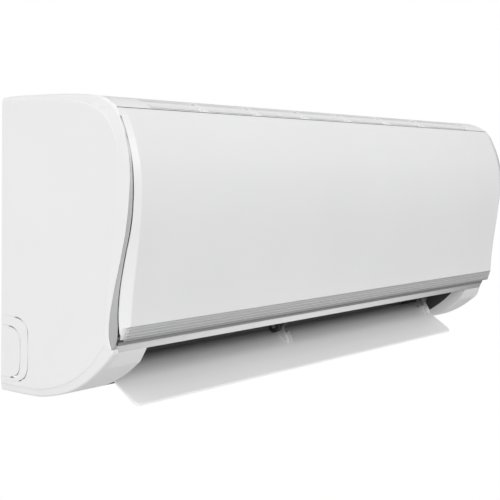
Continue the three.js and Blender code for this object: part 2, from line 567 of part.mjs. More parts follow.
// ---------------------------------------------------------------- fan
const FAN_LEN_DISCS = [-303, -166.3, -29.5, 107.3, 244];
function fanBlade(i) {
  const a0 = (360 / FAN_BLADES) * i;
  const mid = [[35.4, 0], [43.2, 9.5]].map(([r, d]) => [r, a0 + d]);
  const t = 1.15;
  const outer = mid.map(([r, d]) => { const p = polar([0, 0], r, d); const q = polar([0, 0], t / 2, d + 62); return [p[0] + q[0], p[1] + q[1]]; });
  const inner = mid.map(([r, d]) => { const p = polar([0, 0], r, d); const q = polar([0, 0], t / 2, d + 62 + 180); return [p[0] + q[0], p[1] + q[1]]; });
  return [...outer, ...inner.reverse()].map(([u, v]) => [FAN_AXIS[0] + u, FAN_AXIS[1] + v]);
}
const ringPoly = (r, n) => ngon(r, n, Math.PI / n).map(([u, v]) => [FAN_AXIS[0] + u, FAN_AXIS[1] + v]);
let fan = null;
FAN_LEN_DISCS.forEach((x, k) => {
  const first = k === 0, last = k === FAN_LEN_DISCS.length - 1;
  const inner = first || last ? ringPoly(4.3, 12) : ringPoly(30, 16);
  const d = prism(ringPoly(FAN_R, 24), x, x + 3, [inner]);
  fan = fan ? fan.add(d) : d;
});
for (let i = 0; i < FAN_BLADES; i++) fan = fan.add(prism(fanBlade(i), FAN_X0 + 1, FAN_X1 - 1));
fan = fan.add(turnedX([[-300.4, 4.3], [-300.4, 10], [-292, 10], [-292, 4.3], [-300.4, 4.3]], ...FAN_AXIS, 16));
fan = fan.add(turnedX([[226, 4.3], [226, 13], [244.4, 13], [244.4, 4.3], [226, 4.3]], ...FAN_AXIS, 16));
piece('fan_wheel', fan, DARK());
piece('fan_stub_shaft', rodX(-314, -293, ...FAN_AXIS, 4, 14), STEEL());
piece('fan_bearing', turnedX([[-315, 4.4], [-315, 12], [-307, 12], [-307, 4.4], [-315, 4.4]], ...FAN_AXIS, 20), RUBBER());
piece('bearing_holder', turnedX([[-318.2, 0], [-318.2, 19], [-312.9, 19], [-312.9, 12.6], [-315.8, 12.6], [-315.8, 0]],
  ...FAN_AXIS, 20), GREY());
piece('motor_shaft', rodX(228, 292, ...FAN_AXIS, 4, 14), STEEL());
piece('fan_motor', turnedX([[257, 4.5], [257, 14], [263, 14], [263, 36], [266, 38], [302, 38], [305, 36], [305, 12],
  [308, 12], [308, 0], [296, 0], [296, 4.5], [257, 4.5]], ...FAN_AXIS, 28), DARK());
// band that holds the motor down on the chassis
const arcPts = (r, a0, a1, n) => Array.from({ length: n + 1 }, (_, i) => polar(FAN_AXIS, r, a0 + ((a1 - a0) * i) / n));
const CLAMP_BAND = [...arcPts(38.6, -20, 200, 12), ...arcPts(41.4, 200, -20, 12)];
piece('motor_clamp', prism(CLAMP_BAND, 274, 294), GREY());

// ---------------------------------------------------------------- louver
// drawn closed, lying along the underside curve, then turned to its open pose
const LOUVER_OUT = [
  [-70.5, 1.7], [-80, 3.5], [-92, 6.8], [-104, 11.3], [-116, 17.4], [-127, 24.6], [-137, 33], [-145.2, 42.6],
];
const LOUVER_INN = [
  [-143.4, 43.6], [-134.6, 35], [-124.9, 27.3], [-114.2, 20.4], [-102.6, 14.4], [-91.2, 9.8], [-79.6, 6.6], [-71, 4.3],
];
const louverTurn = (pts) => pts.map((p) => turn(p, LOUVER_AXIS, LOUVER_OPEN));
let louver = prism(louverTurn([...LOUVER_OUT, ...LOUVER_INN]), -LOUVER_HALF, LOUVER_HALF);
const ARM = [[-104, 13.8], [-92, 9], [-79, 5.6], [-80.6, 31], [-83, 37.6], [-87.6, 39.6], [-92, 37.4], [-93.4, 32]];
const arm = (x0, x1) => prism(louverTurn(ARM), x0, x1);
louver = louver.add(arm(-307, -303.4)).add(rodX(-316.6, -304, ...LOUVER_AXIS, 2.6, 12));
louver = louver.add(arm(-29.4, -26)).add(rodX(-36, -27, ...LOUVER_AXIS, 2.4, 12));
louver = louver.add(arm(300.6, 307).subtract(rodX(300, 308, ...LOUVER_AXIS, 2.9, 12)));
// stiffening bead along the inner face
louver = louver.add(prism(louverTurn([[-118, 21.6], [-114.6, 23.4], [-112.6, 19.4], [-116, 17.6]]), -300, 297));
piece('louver', louver, WHITE());
piece('louver_drive_spindle', rodX(301, 330, ...LOUVER_AXIS, 2.5, 12), STEEL());
const MOTOR_C = [LOUVER_AXIS[0] + 6, LOUVER_AXIS[1] + 6];
let stepper = rodX(318.2, 337, ...MOTOR_C, 14, 20);
stepper = stepper.add(box(318.2, 319.4, MOTOR_C[0] - 21, MOTOR_C[0] + 21, MOTOR_C[1] - 4, MOTOR_C[1] + 4));
stepper = stepper.subtract(rodX(317, 331, ...LOUVER_AXIS, 2.9, 12));
piece('louver_motor', stepper, ZINC());

// ---------------------------------------------------------------- air vanes
// upright blades in the duct, turning about pins that point to the front
const VANE = [
  [-52.6, 66.5], [-52.6, 49], [-58, 45.2], [-92, 45.2], [-100, 48], [-103, 56], [-100, 67], [-92, 68.4], [-74, 68.6], [-60, 68],
];
function vane(name, x) {
  let v = prism(VANE, x - 0.9, x + 0.9);
  v = v.add(rodY(-53.6, -47.5, x, VANE_AXIS_Z, 2, 8));
  v = v.add(rodY(-107.6, -99.4, x, VANE_AXIS_Z - VANE_PIN_DROP, 1.4, 8));
  piece(name, v, GREY());
}
VANE_LEFT_X.forEach((x, i) => vane(`vane_left_${i + 1}`, x));
VANE_RIGHT_X.forEach((x, i) => vane(`vane_right_${i + 1}`, x));
function vaneBase(name, xs) {
  const x0 = xs[0] - 14, x1 = xs[4] + 14;
  let b = box(x0, x1, -50, -47.2, 51.6, 60.4);
  for (const x of xs) b = b.subtract(rodY(-51, -46, x, VANE_AXIS_Z, 2.4, 8));
  piece(name, b, GREY());
}
function vaneLink(name, xs) {
  const z = VANE_AXIS_Z - VANE_PIN_DROP;
  let l = box(xs[0] - 5, xs[4] + 5, -106.2, -103.2, z - 3.6, z + 3.6);
  for (const x of xs) l = l.subtract(rodY(-107.5, -102, x, z, 1.8, 8));
  // finger tab between the third and fourth vanes
  const m = (xs[2] + xs[3]) / 2;
  l = l.add(box(m - 4, m + 4, -113.5, -106, z - 1, z + 1));
  piece(name, l, GREY());
}
vaneBase('vane_base_left', VANE_LEFT_X);
vaneBase('vane_base_right', VANE_RIGHT_X);
vaneLink('vane_link_left', VANE_LEFT_X);
vaneLink('vane_link_right', VANE_RIGHT_X);

// ---------------------------------------------------------------- air filters
function airFilter(name, x0, x1) {
  const edge = band(FILTER_LINE, -1.1, 1.1);
  const net = band(FILTER_LINE, -0.45, 0.45);
  let f = prism(edge, x0, x0 + 6).add(prism(edge, x1 - 6, x1)).add(prism(net, x0 + 3, x1 - 3));
  const mid = (x0 + x1) / 2;
  f = f.add(prism(edge, mid - 2, mid + 2));
  for (const i of [0, 2, 5, 8]) {
    const a = FILTER_LINE[i], b = FILTER_LINE[i + 1];
    const l = Math.hypot(b[0] - a[0], b[1] - a[1]);
    const w = i === 0 ? 7 : 4;
    const e = i === 8 ? [[b[0] - (b[0] - a[0]) * w / l, b[1] - (b[1] - a[1]) * w / l], b]
      : [a, [a[0] + (b[0] - a[0]) * w / l, a[1] + (b[1] - a[1]) * w / l]];
    f = f.add(prism(band(e, -1.1, 1.1), x0 + 3, x1 - 3));
  }
  // pull tab at the lower edge
  f = f.add(box(mid - 20, mid + 20, -160.8, -157.6, 84, 88));
  piece(name, f, GREY());
}
airFilter('air_filter_left', -304.5, -31.5);
airFilter('air_filter_right', -22.5, 249.5);

// ---------------------------------------------------------------- electrics
let cbox = box(262, 352, -148.6, -119, 98, 236).subtract(box(264, 350, -150, -121, 100, 234));
cbox = cbox.subtract(box(290, 304, -122, -118, 104, 118));
piece('control_box', cbox, DARK());
let cover = box(261, 353, -151.4, -149, 97, 237);
cover = cover.subtract(rodY(-153, -148, 282, 120, 4.6, 16));
piece('control_box_cover', cover, GREY());
let board = box(267, 347, -127.4, -125.8, 103, 203);
board = board.add(box(270, 292, -137, -127, 160, 184)).add(box(300, 322, -141, -127, 150, 172))
  .add(box(326, 343, -139, -127, 110, 140)).add(rodY(-145, -127, 312, 190, 7, 12))
  .add(rodY(-143, -127, 332, 165, 6, 12)).add(box(279, 285, -133.6, -127, 117, 123))
  .add(box(296, 318, -131, -127, 108, 128)).add(rodY(-125.9, -121.4, 270, 106, 2.5, 8)).add(rodY(-125.9, -121.4, 344, 200, 2.5, 8));
piece('control_board', board, BOARD());
let term = box(275, 339, -140, -124, 209, 227);
for (let i = 0; i < 4; i++) term = term.subtract(box(279 + i * 15, 290 + i * 15, -141, -129, 212, 228));
piece('terminal_block', term, RUBBER());
let display = box(264, 336, -158.6, -155.4, 79, 95).add(box(276, 324, -155.9, -151.6, 83, 91));
display = display.add(box(290, 310, -158.6, -154.4, 66, 80));
piece('display_board', display, DARK());
piece('emergency_button', rodY(-155.6, -136, 282, 120, 2.1, 12).add(rodY(-155.8, -150.2, 282, 120, 4.1, 16))
  .add(rodY(-148.6, -147, 282, 120, 5.6, 12)), GREY());
const springPts = [];
for (let i = 0; i <= 24; i++) {
  const a = (i / 6) * 2 * Math.PI;
  springPts.push([282 + 3.1 * Math.cos(a), -146.4 + (i / 24) * 12, 120 + 3.1 * Math.sin(a)]);
}
piece('button_spring', tube(springPts, 0.4, 5), STEEL());
piece('room_sensor', box(256.4, 260.4, -155, -149, 150, 156).add(rodY(-160, -154.6, 258.4, 153, 1.8, 10)), RUBBER());
piece('coil_sensor', rodX(239, 262, -134.2 - 8.2, 139.6, 2.6, 10), BRASS());

const group = new THREE.Group();
group.add(unit);
export default group;
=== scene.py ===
import math

import bmesh
import bpy
import numpy as np
from mathutils import Matrix, Vector


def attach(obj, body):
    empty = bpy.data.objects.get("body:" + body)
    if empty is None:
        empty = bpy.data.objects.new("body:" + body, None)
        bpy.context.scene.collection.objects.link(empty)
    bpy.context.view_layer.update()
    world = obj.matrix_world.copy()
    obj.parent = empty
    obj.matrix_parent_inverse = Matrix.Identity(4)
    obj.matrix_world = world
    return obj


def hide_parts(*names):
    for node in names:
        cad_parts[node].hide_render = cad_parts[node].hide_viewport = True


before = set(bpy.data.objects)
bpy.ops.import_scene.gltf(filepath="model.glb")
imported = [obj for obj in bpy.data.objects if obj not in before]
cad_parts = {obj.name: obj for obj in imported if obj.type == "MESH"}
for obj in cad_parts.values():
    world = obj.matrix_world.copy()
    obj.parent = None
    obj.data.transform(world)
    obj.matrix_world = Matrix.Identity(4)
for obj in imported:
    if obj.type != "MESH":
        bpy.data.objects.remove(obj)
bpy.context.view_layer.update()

# Wall-mounted indoor unit of a split air conditioner. Shapes are drawn in
# millimetres in the casing's own coordinates: x = 0 in the middle, y = 0 on the
# casing's back edge (front is -y), z = 0 on its underside. loc() takes them to
# the frame: metres, with the mounting plate's back face as the origin.


def loc(x, y, z):
    return (x * 0.001, (y - 2.0) * 0.001, (z - 150.0) * 0.001)


# ------------------------------------------------------------------ curves
def catmull(pts, step=1.2, closed=False):
    """Points of a smooth curve through pts (centripetal Catmull-Rom)."""
    P = [np.array(p, float) for p in pts]
    n = len(P)
    out = []
    segs = n if closed else n - 1
    for i in range(segs):
        p1, p2 = P[i], P[(i + 1) % n]
        if closed:
            p0, p3 = P[(i - 1) % n], P[(i + 2) % n]
        else:
            p0 = P[i - 1] if i > 0 else 2 * p1 - p2
            p3 = P[i + 2] if i + 2 < n else 2 * p2 - p1
        t0 = 0.0
        t1 = t0 + max(np.linalg.norm(p1 - p0), 1e-6) ** 0.5
        t2 = t1 + max(np.linalg.norm(p2 - p1), 1e-6) ** 0.5
        t3 = t2 + max(np.linalg.norm(p3 - p2), 1e-6) ** 0.5
        k = max(1, int(math.ceil(np.linalg.norm(p2 - p1) / step)))
        for j in range(k):
            t = t1 + (t2 - t1) * j / k
            a1 = (t1 - t) / (t1 - t0) * p0 + (t - t0) / (t1 - t0) * p1
            a2 = (t2 - t) / (t2 - t1) * p1 + (t - t1) / (t2 - t1) * p2
            a3 = (t3 - t) / (t3 - t2) * p2 + (t - t2) / (t3 - t2) * p3
            b1 = (t2 - t) / (t2 - t0) * a1 + (t - t0) / (t2 - t0) * a2
            b2 = (t3 - t) / (t3 - t1) * a2 + (t - t1) / (t3 - t1) * a3
            out.append((t2 - t) / (t2 - t1) * b1 + (t - t1) / (t2 - t1) * b2)
    if not closed:
        out.append(P[-1])
    return np.array(out)


def smooth_even(pts, n):
    """n points, evenly spaced along the smooth curve through pts."""
    c = catmull(pts, 0.5)
    s = np.r_[0, np.cumsum(np.linalg.norm(np.diff(c, axis=0), axis=1))]
    t = np.linspace(0, s[-1], n)
    return np.stack([np.interp(t, s, c[:, k]) for k in range(c.shape[1])], 1)


def at_fraction(c, f):
    s = np.r_[0, np.cumsum(np.linalg.norm(np.diff(c, axis=0), axis=1))]
    t = np.asarray(f) * s[-1]
    return np.stack([np.interp(t, s, c[:, k]) for k in range(c.shape[1])], 1)


def side_of(line):
    """Unit vectors at right angles to an open line of (y, z) points."""
    d = np.gradient(np.asarray(line, float), axis=0)
    d /= np.linalg.norm(d, axis=1)[:, None]
    return np.stack([d[:, 1], -d[:, 0]], 1)


def turn(p, c, deg):
    a = math.radians(deg)
    y, z = p[0] - c[0], p[1] - c[1]
    return (c[0] + y * math.cos(a) - z * math.sin(a), c[1] + y * math.sin(a) + z * math.cos(a))


def rounded(points, radii, per=5):
    """Closed outline with its corners rounded; radii is one number or one per corner."""
    n = len(points)
    out = []
    for i in range(n):
        r = radii if np.isscalar(radii) else radii[i]
        p, a, b = (np.array(points[k % n], float) for k in (i, i - 1, i + 1))
        if r <= 0:
            out.append(tuple(p))
            continue
        u, v = a - p, b - p
        lu, lv = np.linalg.norm(u), np.linalg.norm(v)
        u, v = u / lu, v / lv
        half = math.acos(max(-1, min(1, float(u @ v)))) / 2
        if half > math.radians(88):
            out.append(tuple(p))
            continue
        d = min(r / math.tan(half), lu * 0.48, lv * 0.48)
        s, e = p + u * d, p + v * d
        for k in range(per + 1):
            t = k / per
            out.append(tuple((1 - t) ** 2 * s + 2 * t * (1 - t) * p + t * t * e))
    return out


# ------------------------------------------------------------------ meshes
def mesh_object(name, verts, faces):
    me = bpy.data.meshes.new(name)
    me.from_pydata([loc(*v) for v in verts], [], faces)
    bm = bmesh.new()
    bm.from_mesh(me)
    bmesh.ops.remove_doubles(bm, verts=bm.verts, dist=2e-6)
    bmesh.ops.recalc_face_normals(bm, faces=bm.faces)
    bm.to_mesh(me)
    bm.free()
    ob = bpy.data.objects.new(name, me)
    bpy.context.scene.collection.objects.link(ob)
    return ob


def rings_object(name, rings, caps=True, around=False):
    """Closed skin through rings of (x, y, z) points."""
    n = len(rings[0])
    verts = [tuple(p) for r in rings for p in r]
    faces = []
    m = len(rings)
    for k in range(m if around else m - 1):
        k2 = (k + 1) % m
        for i in range(n):
            j = (i + 1) % n
            faces.append((k * n + i, k * n + j, k2 * n + j, k2 * n + i))
    if caps and not around:
        faces.append(tuple(range(n)))
        faces.append(tuple((m - 1) * n + i for i in reversed(range(n))))
    return mesh_object(name, verts, faces)


def prism(name, outline, x0, x1):
    """(y, z) outline carried along x."""
    return rings_object(name, [[(x, p[0], p[1]) for p in outline] for x in (x0, x1)])


def slab_z(name, outline, z0, z1):
    """(x, y) outline carried along z."""
    return rings_object(name, [[(p[0], p[1], z) for p in outline] for z in (z0, z1)])


def slab_y(name, outline, y0, y1):
    """(x, z) outline carried along y."""
    return rings_object(name, [[(p[0], y, p[1]) for p in outline] for y in (y0, y1)])


def box(name, x0, x1, y0, y1, z0, z1):
    return slab_z(name, [(x0, y0), (x1, y0), (x1, y1), (x0, y1)], z0, z1)


def turned(name, profile, base, axis, n=32):
    """Turned piece: profile of (along, radius) about the line through base."""
    axis = Vector(axis).normalized()
    side = axis.orthogonal().normalized()
    up = axis.cross(side)
    base = Vector(base)
    rings = []
    for k in range(n):
        a = 2 * math.pi * k / n
        d = side * math.cos(a) + up * math.sin(a)
        rings.append([tuple(base + axis * s + d * max(r, 0.0)) for s, r in profile])
    verts = [p for r in rings for p in r]
    m = len(profile)
    faces = []
    for k in range(n):
        k2 = (k + 1) % n
        for i in range(m - 1):
            faces.append((k * m + i, k * m + i + 1, k2 * m + i + 1, k2 * m + i))
    ob = mesh_object(name, verts, faces)
    bm = bmesh.new()
    bm.from_mesh(ob.data)
    bmesh.ops.dissolve_degenerate(bm, edges=bm.edges, dist=1e-7)
    holes = [e for e in bm.edges if e.is_boundary]
    if holes:
        bmesh.ops.holes_fill(bm, edges=holes, sides=0)
    bmesh.ops.recalc_face_normals(bm, faces=bm.faces)
    bm.to_mesh(ob.data)
    bm.free()
    return ob


def tube(name, path, r, n=12):
    """Round bar along a path of (x, y, z) points; r is a number or one per point."""
    P = [Vector(p) for p in path]
    T = []
    for i in range(len(P)):
        a = P[max(i - 1, 0)]
        b = P[min(i + 1, len(P) - 1)]
        T.append((b - a).normalized())
    side = T[0].orthogonal().normalized()
    rings = []
    for i, p in enumerate(P):
        side = (side - T[i] * side.dot(T[i])).normalized()
        up = T[i].cross(side)
        rr = r if np.isscalar(r) else r[i]
        rings.append([tuple(p + (side * math.cos(2 * math.pi * k / n) + up * math.sin(2 * math.pi * k / n)) * rr)
                      for k in range(n)])
    return rings_object(name, rings)


def settle(ob):
    """Applies an object's modifiers to its mesh."""
    dg = bpy.context.evaluated_depsgraph_get()
    me = bpy.data.meshes.new_from_object(ob.evaluated_get(dg), depsgraph=dg)
    ob.modifiers.clear()
    old = ob.data
    ob.data = me
    bpy.data.meshes.remove(old)
    return ob


def combine(ob, others, op):
    """Boolean of ob with each of the others, which are used up."""
    for o in others:
        m = ob.modifiers.new("b", "BOOLEAN")
        m.operation = op
        m.solver = "MANIFOLD"
        m.object = o
        before = len(ob.data.polygons)
        settle(ob)
        if len(ob.data.polygons) == 0 and before:
            print("BOOLEAN LOST", ob.name, o.name)
        bpy.data.objects.remove(o)
    return ob


def cut(ob, *others):
    return combine(ob, others, "DIFFERENCE")


def join(ob, *others):
    return combine(ob, others, "UNION")


def group(name, objects):
    """One object from several, their meshes side by side."""
    bm = bmesh.new()
    for o in objects:
        bm.from_mesh(o.data)
    me = bpy.data.meshes.new(name)
    bm.to_mesh(me)
    bm.free()
    for o in objects:
        bpy.data.objects.remove(o)
    ob = bpy.data.objects.new(name, me)
    bpy.context.scene.collection.objects.link(ob)
    return ob


def bevel(ob, width, segments=2, angle=35):
    m = ob.modifiers.new("bevel", "BEVEL")
    m.width = width * 0.001
    m.segments = segments
    m.limit_method = "ANGLE"
    m.angle_limit = math.radians(angle)
    m.use_clamp_overlap = True
    m.harden_normals = False
    return settle(ob)


def shade(ob, angle=30):
    me = ob.data
    me.polygons.foreach_set("use_smooth", [True] * len(me.polygons))
    me.set_sharp_from_angle(angle=math.radians(angle))
    me.update()
    return ob


def dress(ob, material, body, replaces=(), angle=30):
    shade(ob, angle)
    ob.data.materials.clear()
    ob.data.materials.append(material)
    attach(ob, body)
    if replaces:
        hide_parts(*replaces)
    return ob


# ------------------------------------------------------------------ materials
def start(name):
    mat = bpy.data.materials.new(name)
    mat.use_nodes = True
    nt = mat.node_tree
    return mat, nt, nt.nodes["Principled BSDF"]


def coords(nt, scale=(1, 1, 1)):
    tc = nt.nodes.new("ShaderNodeTexCoord")
    mp = nt.nodes.new("ShaderNodeMapping")
    mp.inputs["Scale"].default_value = scale
    nt.links.new(tc.outputs["Object"], mp.inputs["Vector"])
    return mp.outputs["Vector"]


def noise(nt, vec, scale, detail=2.0, rough=0.5):
    n = nt.nodes.new("ShaderNodeTexNoise")
    n.inputs["Scale"].default_value = scale
    n.inputs["Detail"].default_value = detail
    n.inputs["Roughness"].default_value = rough
    nt.links.new(vec, n.inputs["Vector"])
    return n.outputs["Fac"]


def ramp(nt, fac, stops):
    r = nt.nodes.new("ShaderNodeValToRGB")
    el = r.color_ramp.elements
    while len(el) < len(stops):
        el.new(0.5)
    for e, (p, c) in zip(el, stops):
        e.position = p
        e.color = (*c, 1) if len(c) == 3 else c
    nt.links.new(fac, r.inputs["Fac"])
    return r.outputs["Color"]


def span(nt, fac, lo, hi):
    m = nt.nodes.new("ShaderNodeMapRange")
    m.inputs["To Min"].default_value = lo
    m.inputs["To Max"].default_value = hi
    nt.links.new(fac, m.inputs["Value"])
    return m.outputs["Result"]


def bump(nt, height, strength, distance, normal=None):
    b = nt.nodes.new("ShaderNodeBump")
    b.inputs["Strength"].default_value = strength
    b.inputs["Distance"].default_value = distance
    nt.links.new(height, b.inputs["Height"])
    if normal is not None:
        nt.links.new(normal, b.inputs["Normal"])
    return b.outputs["Normal"]


def tint(c, k):
    return tuple(min(1.0, x * k) for x in c)


def plastic(name, rgb, rough, grain=0.10, grain_scale=1400, vary=0.012, coat=0.0, spec=0.5, mottle=7.0):
    """Moulded plastic: eroded mould grain, faint flow mottling, uneven gloss."""
    mat, nt, sh = start(name)
    v = coords(nt)
    fine = noise(nt, v, grain_scale, 2.0, 0.55)
    broad = noise(nt, v, mottle, 3.0, 0.5)
    col = ramp(nt, broad, [(0.3, tint(rgb, 1 - vary)), (0.7, tint(rgb, 1 + vary))])
    nt.links.new(col, sh.inputs["Base Color"])
    nt.links.new(span(nt, noise(nt, v, 60, 3.0), rough - 0.05, rough + 0.05), sh.inputs["Roughness"])
    nt.links.new(bump(nt, fine, grain, 0.0002), sh.inputs["Normal"])
    sh.inputs["Specular IOR Level"].default_value = spec
    sh.inputs["Coat Weight"].default_value = coat
    sh.inputs["Coat Roughness"].default_value = 0.12
    return mat


def metal(name, rgb, rough, brush=(1, 1, 1), brush_scale=900, depth=0.15, vary=0.08, metallic=1.0, spec=0.5):
    """Metal with fine lines along the axis whose brush factor is small."""
    mat, nt, sh = start(name)
    v = coords(nt, brush)
    lines = noise(nt, v, brush_scale, 3.0, 0.6)
    wide = noise(nt, v, brush_scale * 0.2, 3.0, 0.6)
    col = ramp(nt, wide, [(0.25, tint(rgb, 1 - vary)), (0.75, tint(rgb, 1 + vary))])
    nt.links.new(col, sh.inputs["Base Color"])
    nt.links.new(span(nt, lines, rough - 0.08, rough + 0.10), sh.inputs["Roughness"])
    nt.links.new(bump(nt, lines, depth, 0.0001), sh.inputs["Normal"])
    sh.inputs["Metallic"].default_value = metallic
    sh.inputs["Specular IOR Level"].default_value = spec
    return mat


def spangle(name, rgb):
    """Hot-dip galvanised sheet: flat crystals of slightly different grey."""
    mat, nt, sh = start(name)
    v = coords(nt)
    vor = nt.nodes.new("ShaderNodeTexVoronoi")
    vor.inputs["Scale"].default_value = 130
    nt.links.new(v, vor.inputs["Vector"])
    sep = nt.nodes.new("ShaderNodeSeparateColor")
    nt.links.new(vor.outputs["Color"], sep.inputs["Color"])
    fac = sep.outputs["Red"]
    nt.links.new(ramp(nt, fac, [(0.0, tint(rgb, 0.95)), (1.0, tint(rgb, 1.04))]), sh.inputs["Base Color"])
    nt.links.new(span(nt, fac, 0.40, 0.47), sh.inputs["Roughness"])
    nt.links.new(bump(nt, noise(nt, v, 500, 2.0), 0.12, 0.0002), sh.inputs["Normal"])
    sh.inputs["Metallic"].default_value = 0.9
    return mat


M = {}
M["casing"] = plastic("casing_plastic", (0.840, 0.841, 0.840), 0.42, grain=0.05, spec=0.35)
M["panel"] = plastic("panel_plastic", (0.828, 0.829, 0.830), 0.32, grain=0.03, coat=0.0, spec=0.32)
M["louver"] = plastic("louver_plastic", (0.935, 0.936, 0.935), 0.45, grain=0.05, spec=0.3)
M["silver"] = metal("silver_trim", (0.47, 0.472, 0.475), 0.46, (1, 0.02, 0.02), 1500, 0.12, 0.05, 0.35)
M["strip"] = metal("silver_strip", (0.98, 0.981, 0.983), 0.40, (0.012, 1, 1), 1800, 0.1, 0.03, 0.12)


def paint_light_along(mat, axis, low, high, stops):
    """Multiply a material's colour by a soft ramp along one axis of the part, in metres: painted light and shade."""
    nt = mat.node_tree
    mix = nt.nodes.new("ShaderNodeMix")
    mix.data_type = "RGBA"
    mix.blend_type = "MULTIPLY"
    mix.inputs["Factor"].default_value = 1.0
    sep = nt.nodes.new("ShaderNodeSeparateXYZ")
    tc = nt.nodes.new("ShaderNodeTexCoord")
    nt.links.new(tc.outputs["Object"], sep.inputs["Vector"])
    pos = nt.nodes.new("ShaderNodeMapRange")
    pos.inputs["From Min"].default_value = low
    pos.inputs["From Max"].default_value = high
    nt.links.new(sep.outputs[axis], pos.inputs["Value"])
    tone = ramp(nt, pos.outputs["Result"], [(p, (v, v, v)) for p, v in stops])
    sh = nt.nodes["Principled BSDF"]
    old = sh.inputs["Base Color"].links[0].from_socket
    nt.links.new(old, mix.inputs["A"])
    nt.links.new(tone, mix.inputs["B"])
    nt.links.new(mix.outputs["Result"], sh.inputs["Base Color"])


# painted highlight on the outlet strip: brighter in the middle, darker towards both ends
paint_light_along(M["strip"], "X", -0.36, 0.36, [(0.0, 0.74), (0.2, 0.9), (0.40, 1.0), (0.60, 0.98), (0.80, 0.80), (0.97, 0.52)])
# painted reflection on the side trims: lighter towards the top, darker towards the bottom
paint_light_along(M["silver"], "Z", -0.095, 0.115, [(0.0, 0.86), (0.25, 0.96), (0.6, 1.06), (1.0, 1.45)])
# painted shadow on the louver: darker towards its upper hinge edge, under the strip
paint_light_along(M["louver"], "Z", -0.131, -0.1200, [(0.0, 1.0), (0.25, 0.9), (0.5, 0.66), (0.8, 0.42), (1.0, 0.34)])
M["chamfer"] = metal("brushed_trim", (0.73, 0.732, 0.735), 0.40, (0.010, 1, 1), 1500, 0.06, 0.04, 0.5)
# painted shade in the grooves and painted highlights on the ridges of the chamfer band
paint_light_along(M["chamfer"], "Z", -0.0872, -0.0747, [(0.0, 0.70), (0.10, 0.74), (0.20, 1.0), (0.29, 0.80), (0.42, 1.06), (0.52, 0.82),
                                             (0.66, 1.08), (0.75, 0.84), (0.87, 1.04), (0.94, 0.80), (1.0, 0.95)])
# dark grey channel colour: painted shade for the strip's upper facet under the panel's lower edge
M["channel"] = metal("strip_channel", (0.36, 0.362, 0.365), 0.45, (0.012, 1, 1), 1800, 0.1, 0.05, 0.3)
# dark greys for the chassis, the duct walls and the vanes: painted shade for the unlit interior seen through the outlet
M["chassis"] = plastic("chassis_plastic", (0.10, 0.102, 0.105), 0.55, grain=0.15, grain_scale=900)
M["duct"] = plastic("duct_painted_shade", (0.045, 0.046, 0.047), 0.55, grain=0.15, grain_scale=900)
M["vane"] = plastic("vane_plastic", (0.065, 0.066, 0.068), 0.5, grain=0.12)
M["fan"] = plastic("fan_plastic", (0.045, 0.048, 0.052), 0.5, grain=0.2, grain_scale=700, vary=0.08)
M["motor"] = plastic("motor_resin", (0.03, 0.03, 0.032), 0.45, grain=0.25, grain_scale=500, vary=0.1)
M["zinc"] = spangle("galvanised_sheet", (0.56, 0.585, 0.61))
M["stepper"] = metal("stepper_steel", (0.60, 0.61, 0.62), 0.34, (1, 1, 1), 900, 0.1, 0.04)
M["copper"] = metal("copper_pipe", (0.72, 0.34, 0.20), 0.30, (0.05, 1, 1), 700, 0.12, 0.10)
M["brass"] = metal("brass", (0.68, 0.50, 0.20), 0.28, (1, 0.1, 0.1), 900, 0.1, 0.06)
M["steel"] = metal("turned_steel", (0.62, 0.63, 0.64), 0.26, (1, 0.1, 0.1), 900, 0.1, 0.04)
M["rubber"] = plastic("rubber", (0.018, 0.018, 0.019), 0.75, grain=0.3, grain_scale=700, vary=0.15)
M["filter"] = plastic("filter_plastic", (0.17, 0.19, 0.205), 0.5, grain=0.12)
M["cbox"] = plastic("control_plastic", (0.055, 0.058, 0.062), 0.5, grain=0.2, vary=0.05)
M["board"] = plastic("circuit_board", (0.020, 0.085, 0.045), 0.32, grain=0.35, grain_scale=260, vary=0.25, mottle=120)
M["terminal"] = plastic("terminal_resin", (0.022, 0.022, 0.023), 0.4, grain=0.2, vary=0.1)
M["button"] = plastic("button_plastic", (0.74, 0.75, 0.76), 0.35, grain=0.05)


def fins(name):
    """Fin pack: bright thin edges every 1.6 mm, with painted shade for the dark slits between them."""
    mat, nt, sh = start(name)
    tc = nt.nodes.new("ShaderNodeTexCoord")
    sep = nt.nodes.new("ShaderNodeSeparateXYZ")
    nt.links.new(tc.outputs["Object"], sep.inputs["Vector"])
    mul = nt.nodes.new("ShaderNodeMath")
    mul.operation = "MULTIPLY"
    mul.inputs[1].default_value = 1000 / 1.6
    nt.links.new(sep.outputs["X"], mul.inputs[0])
    fr = nt.nodes.new("ShaderNodeMath")
    fr.operation = "PINGPONG"
    fr.inputs[1].default_value = 0.5
    nt.links.new(mul.outputs["Value"], fr.inputs[0])
    # the dark slit colour is painted shade between the fins
    col = ramp(nt, fr.outputs["Value"], [(0.12, (0.50, 0.56, 0.60)), (0.30, (0.06, 0.07, 0.08))])
    nt.links.new(col, sh.inputs["Base Color"])
    nt.links.new(bump(nt, fr.outputs["Value"], 0.8, 0.0006), sh.inputs["Normal"])
    nt.links.new(span(nt, noise(nt, coords(nt), 90), 0.32, 0.48), sh.inputs["Roughness"])
    sh.inputs["Metallic"].default_value = 0.7
    return mat


M["fins"] = fins("fin_aluminium")
M["floor"] = plastic("floor", (0.86, 0.86, 0.86), 0.7, grain=0.02, spec=0.2)

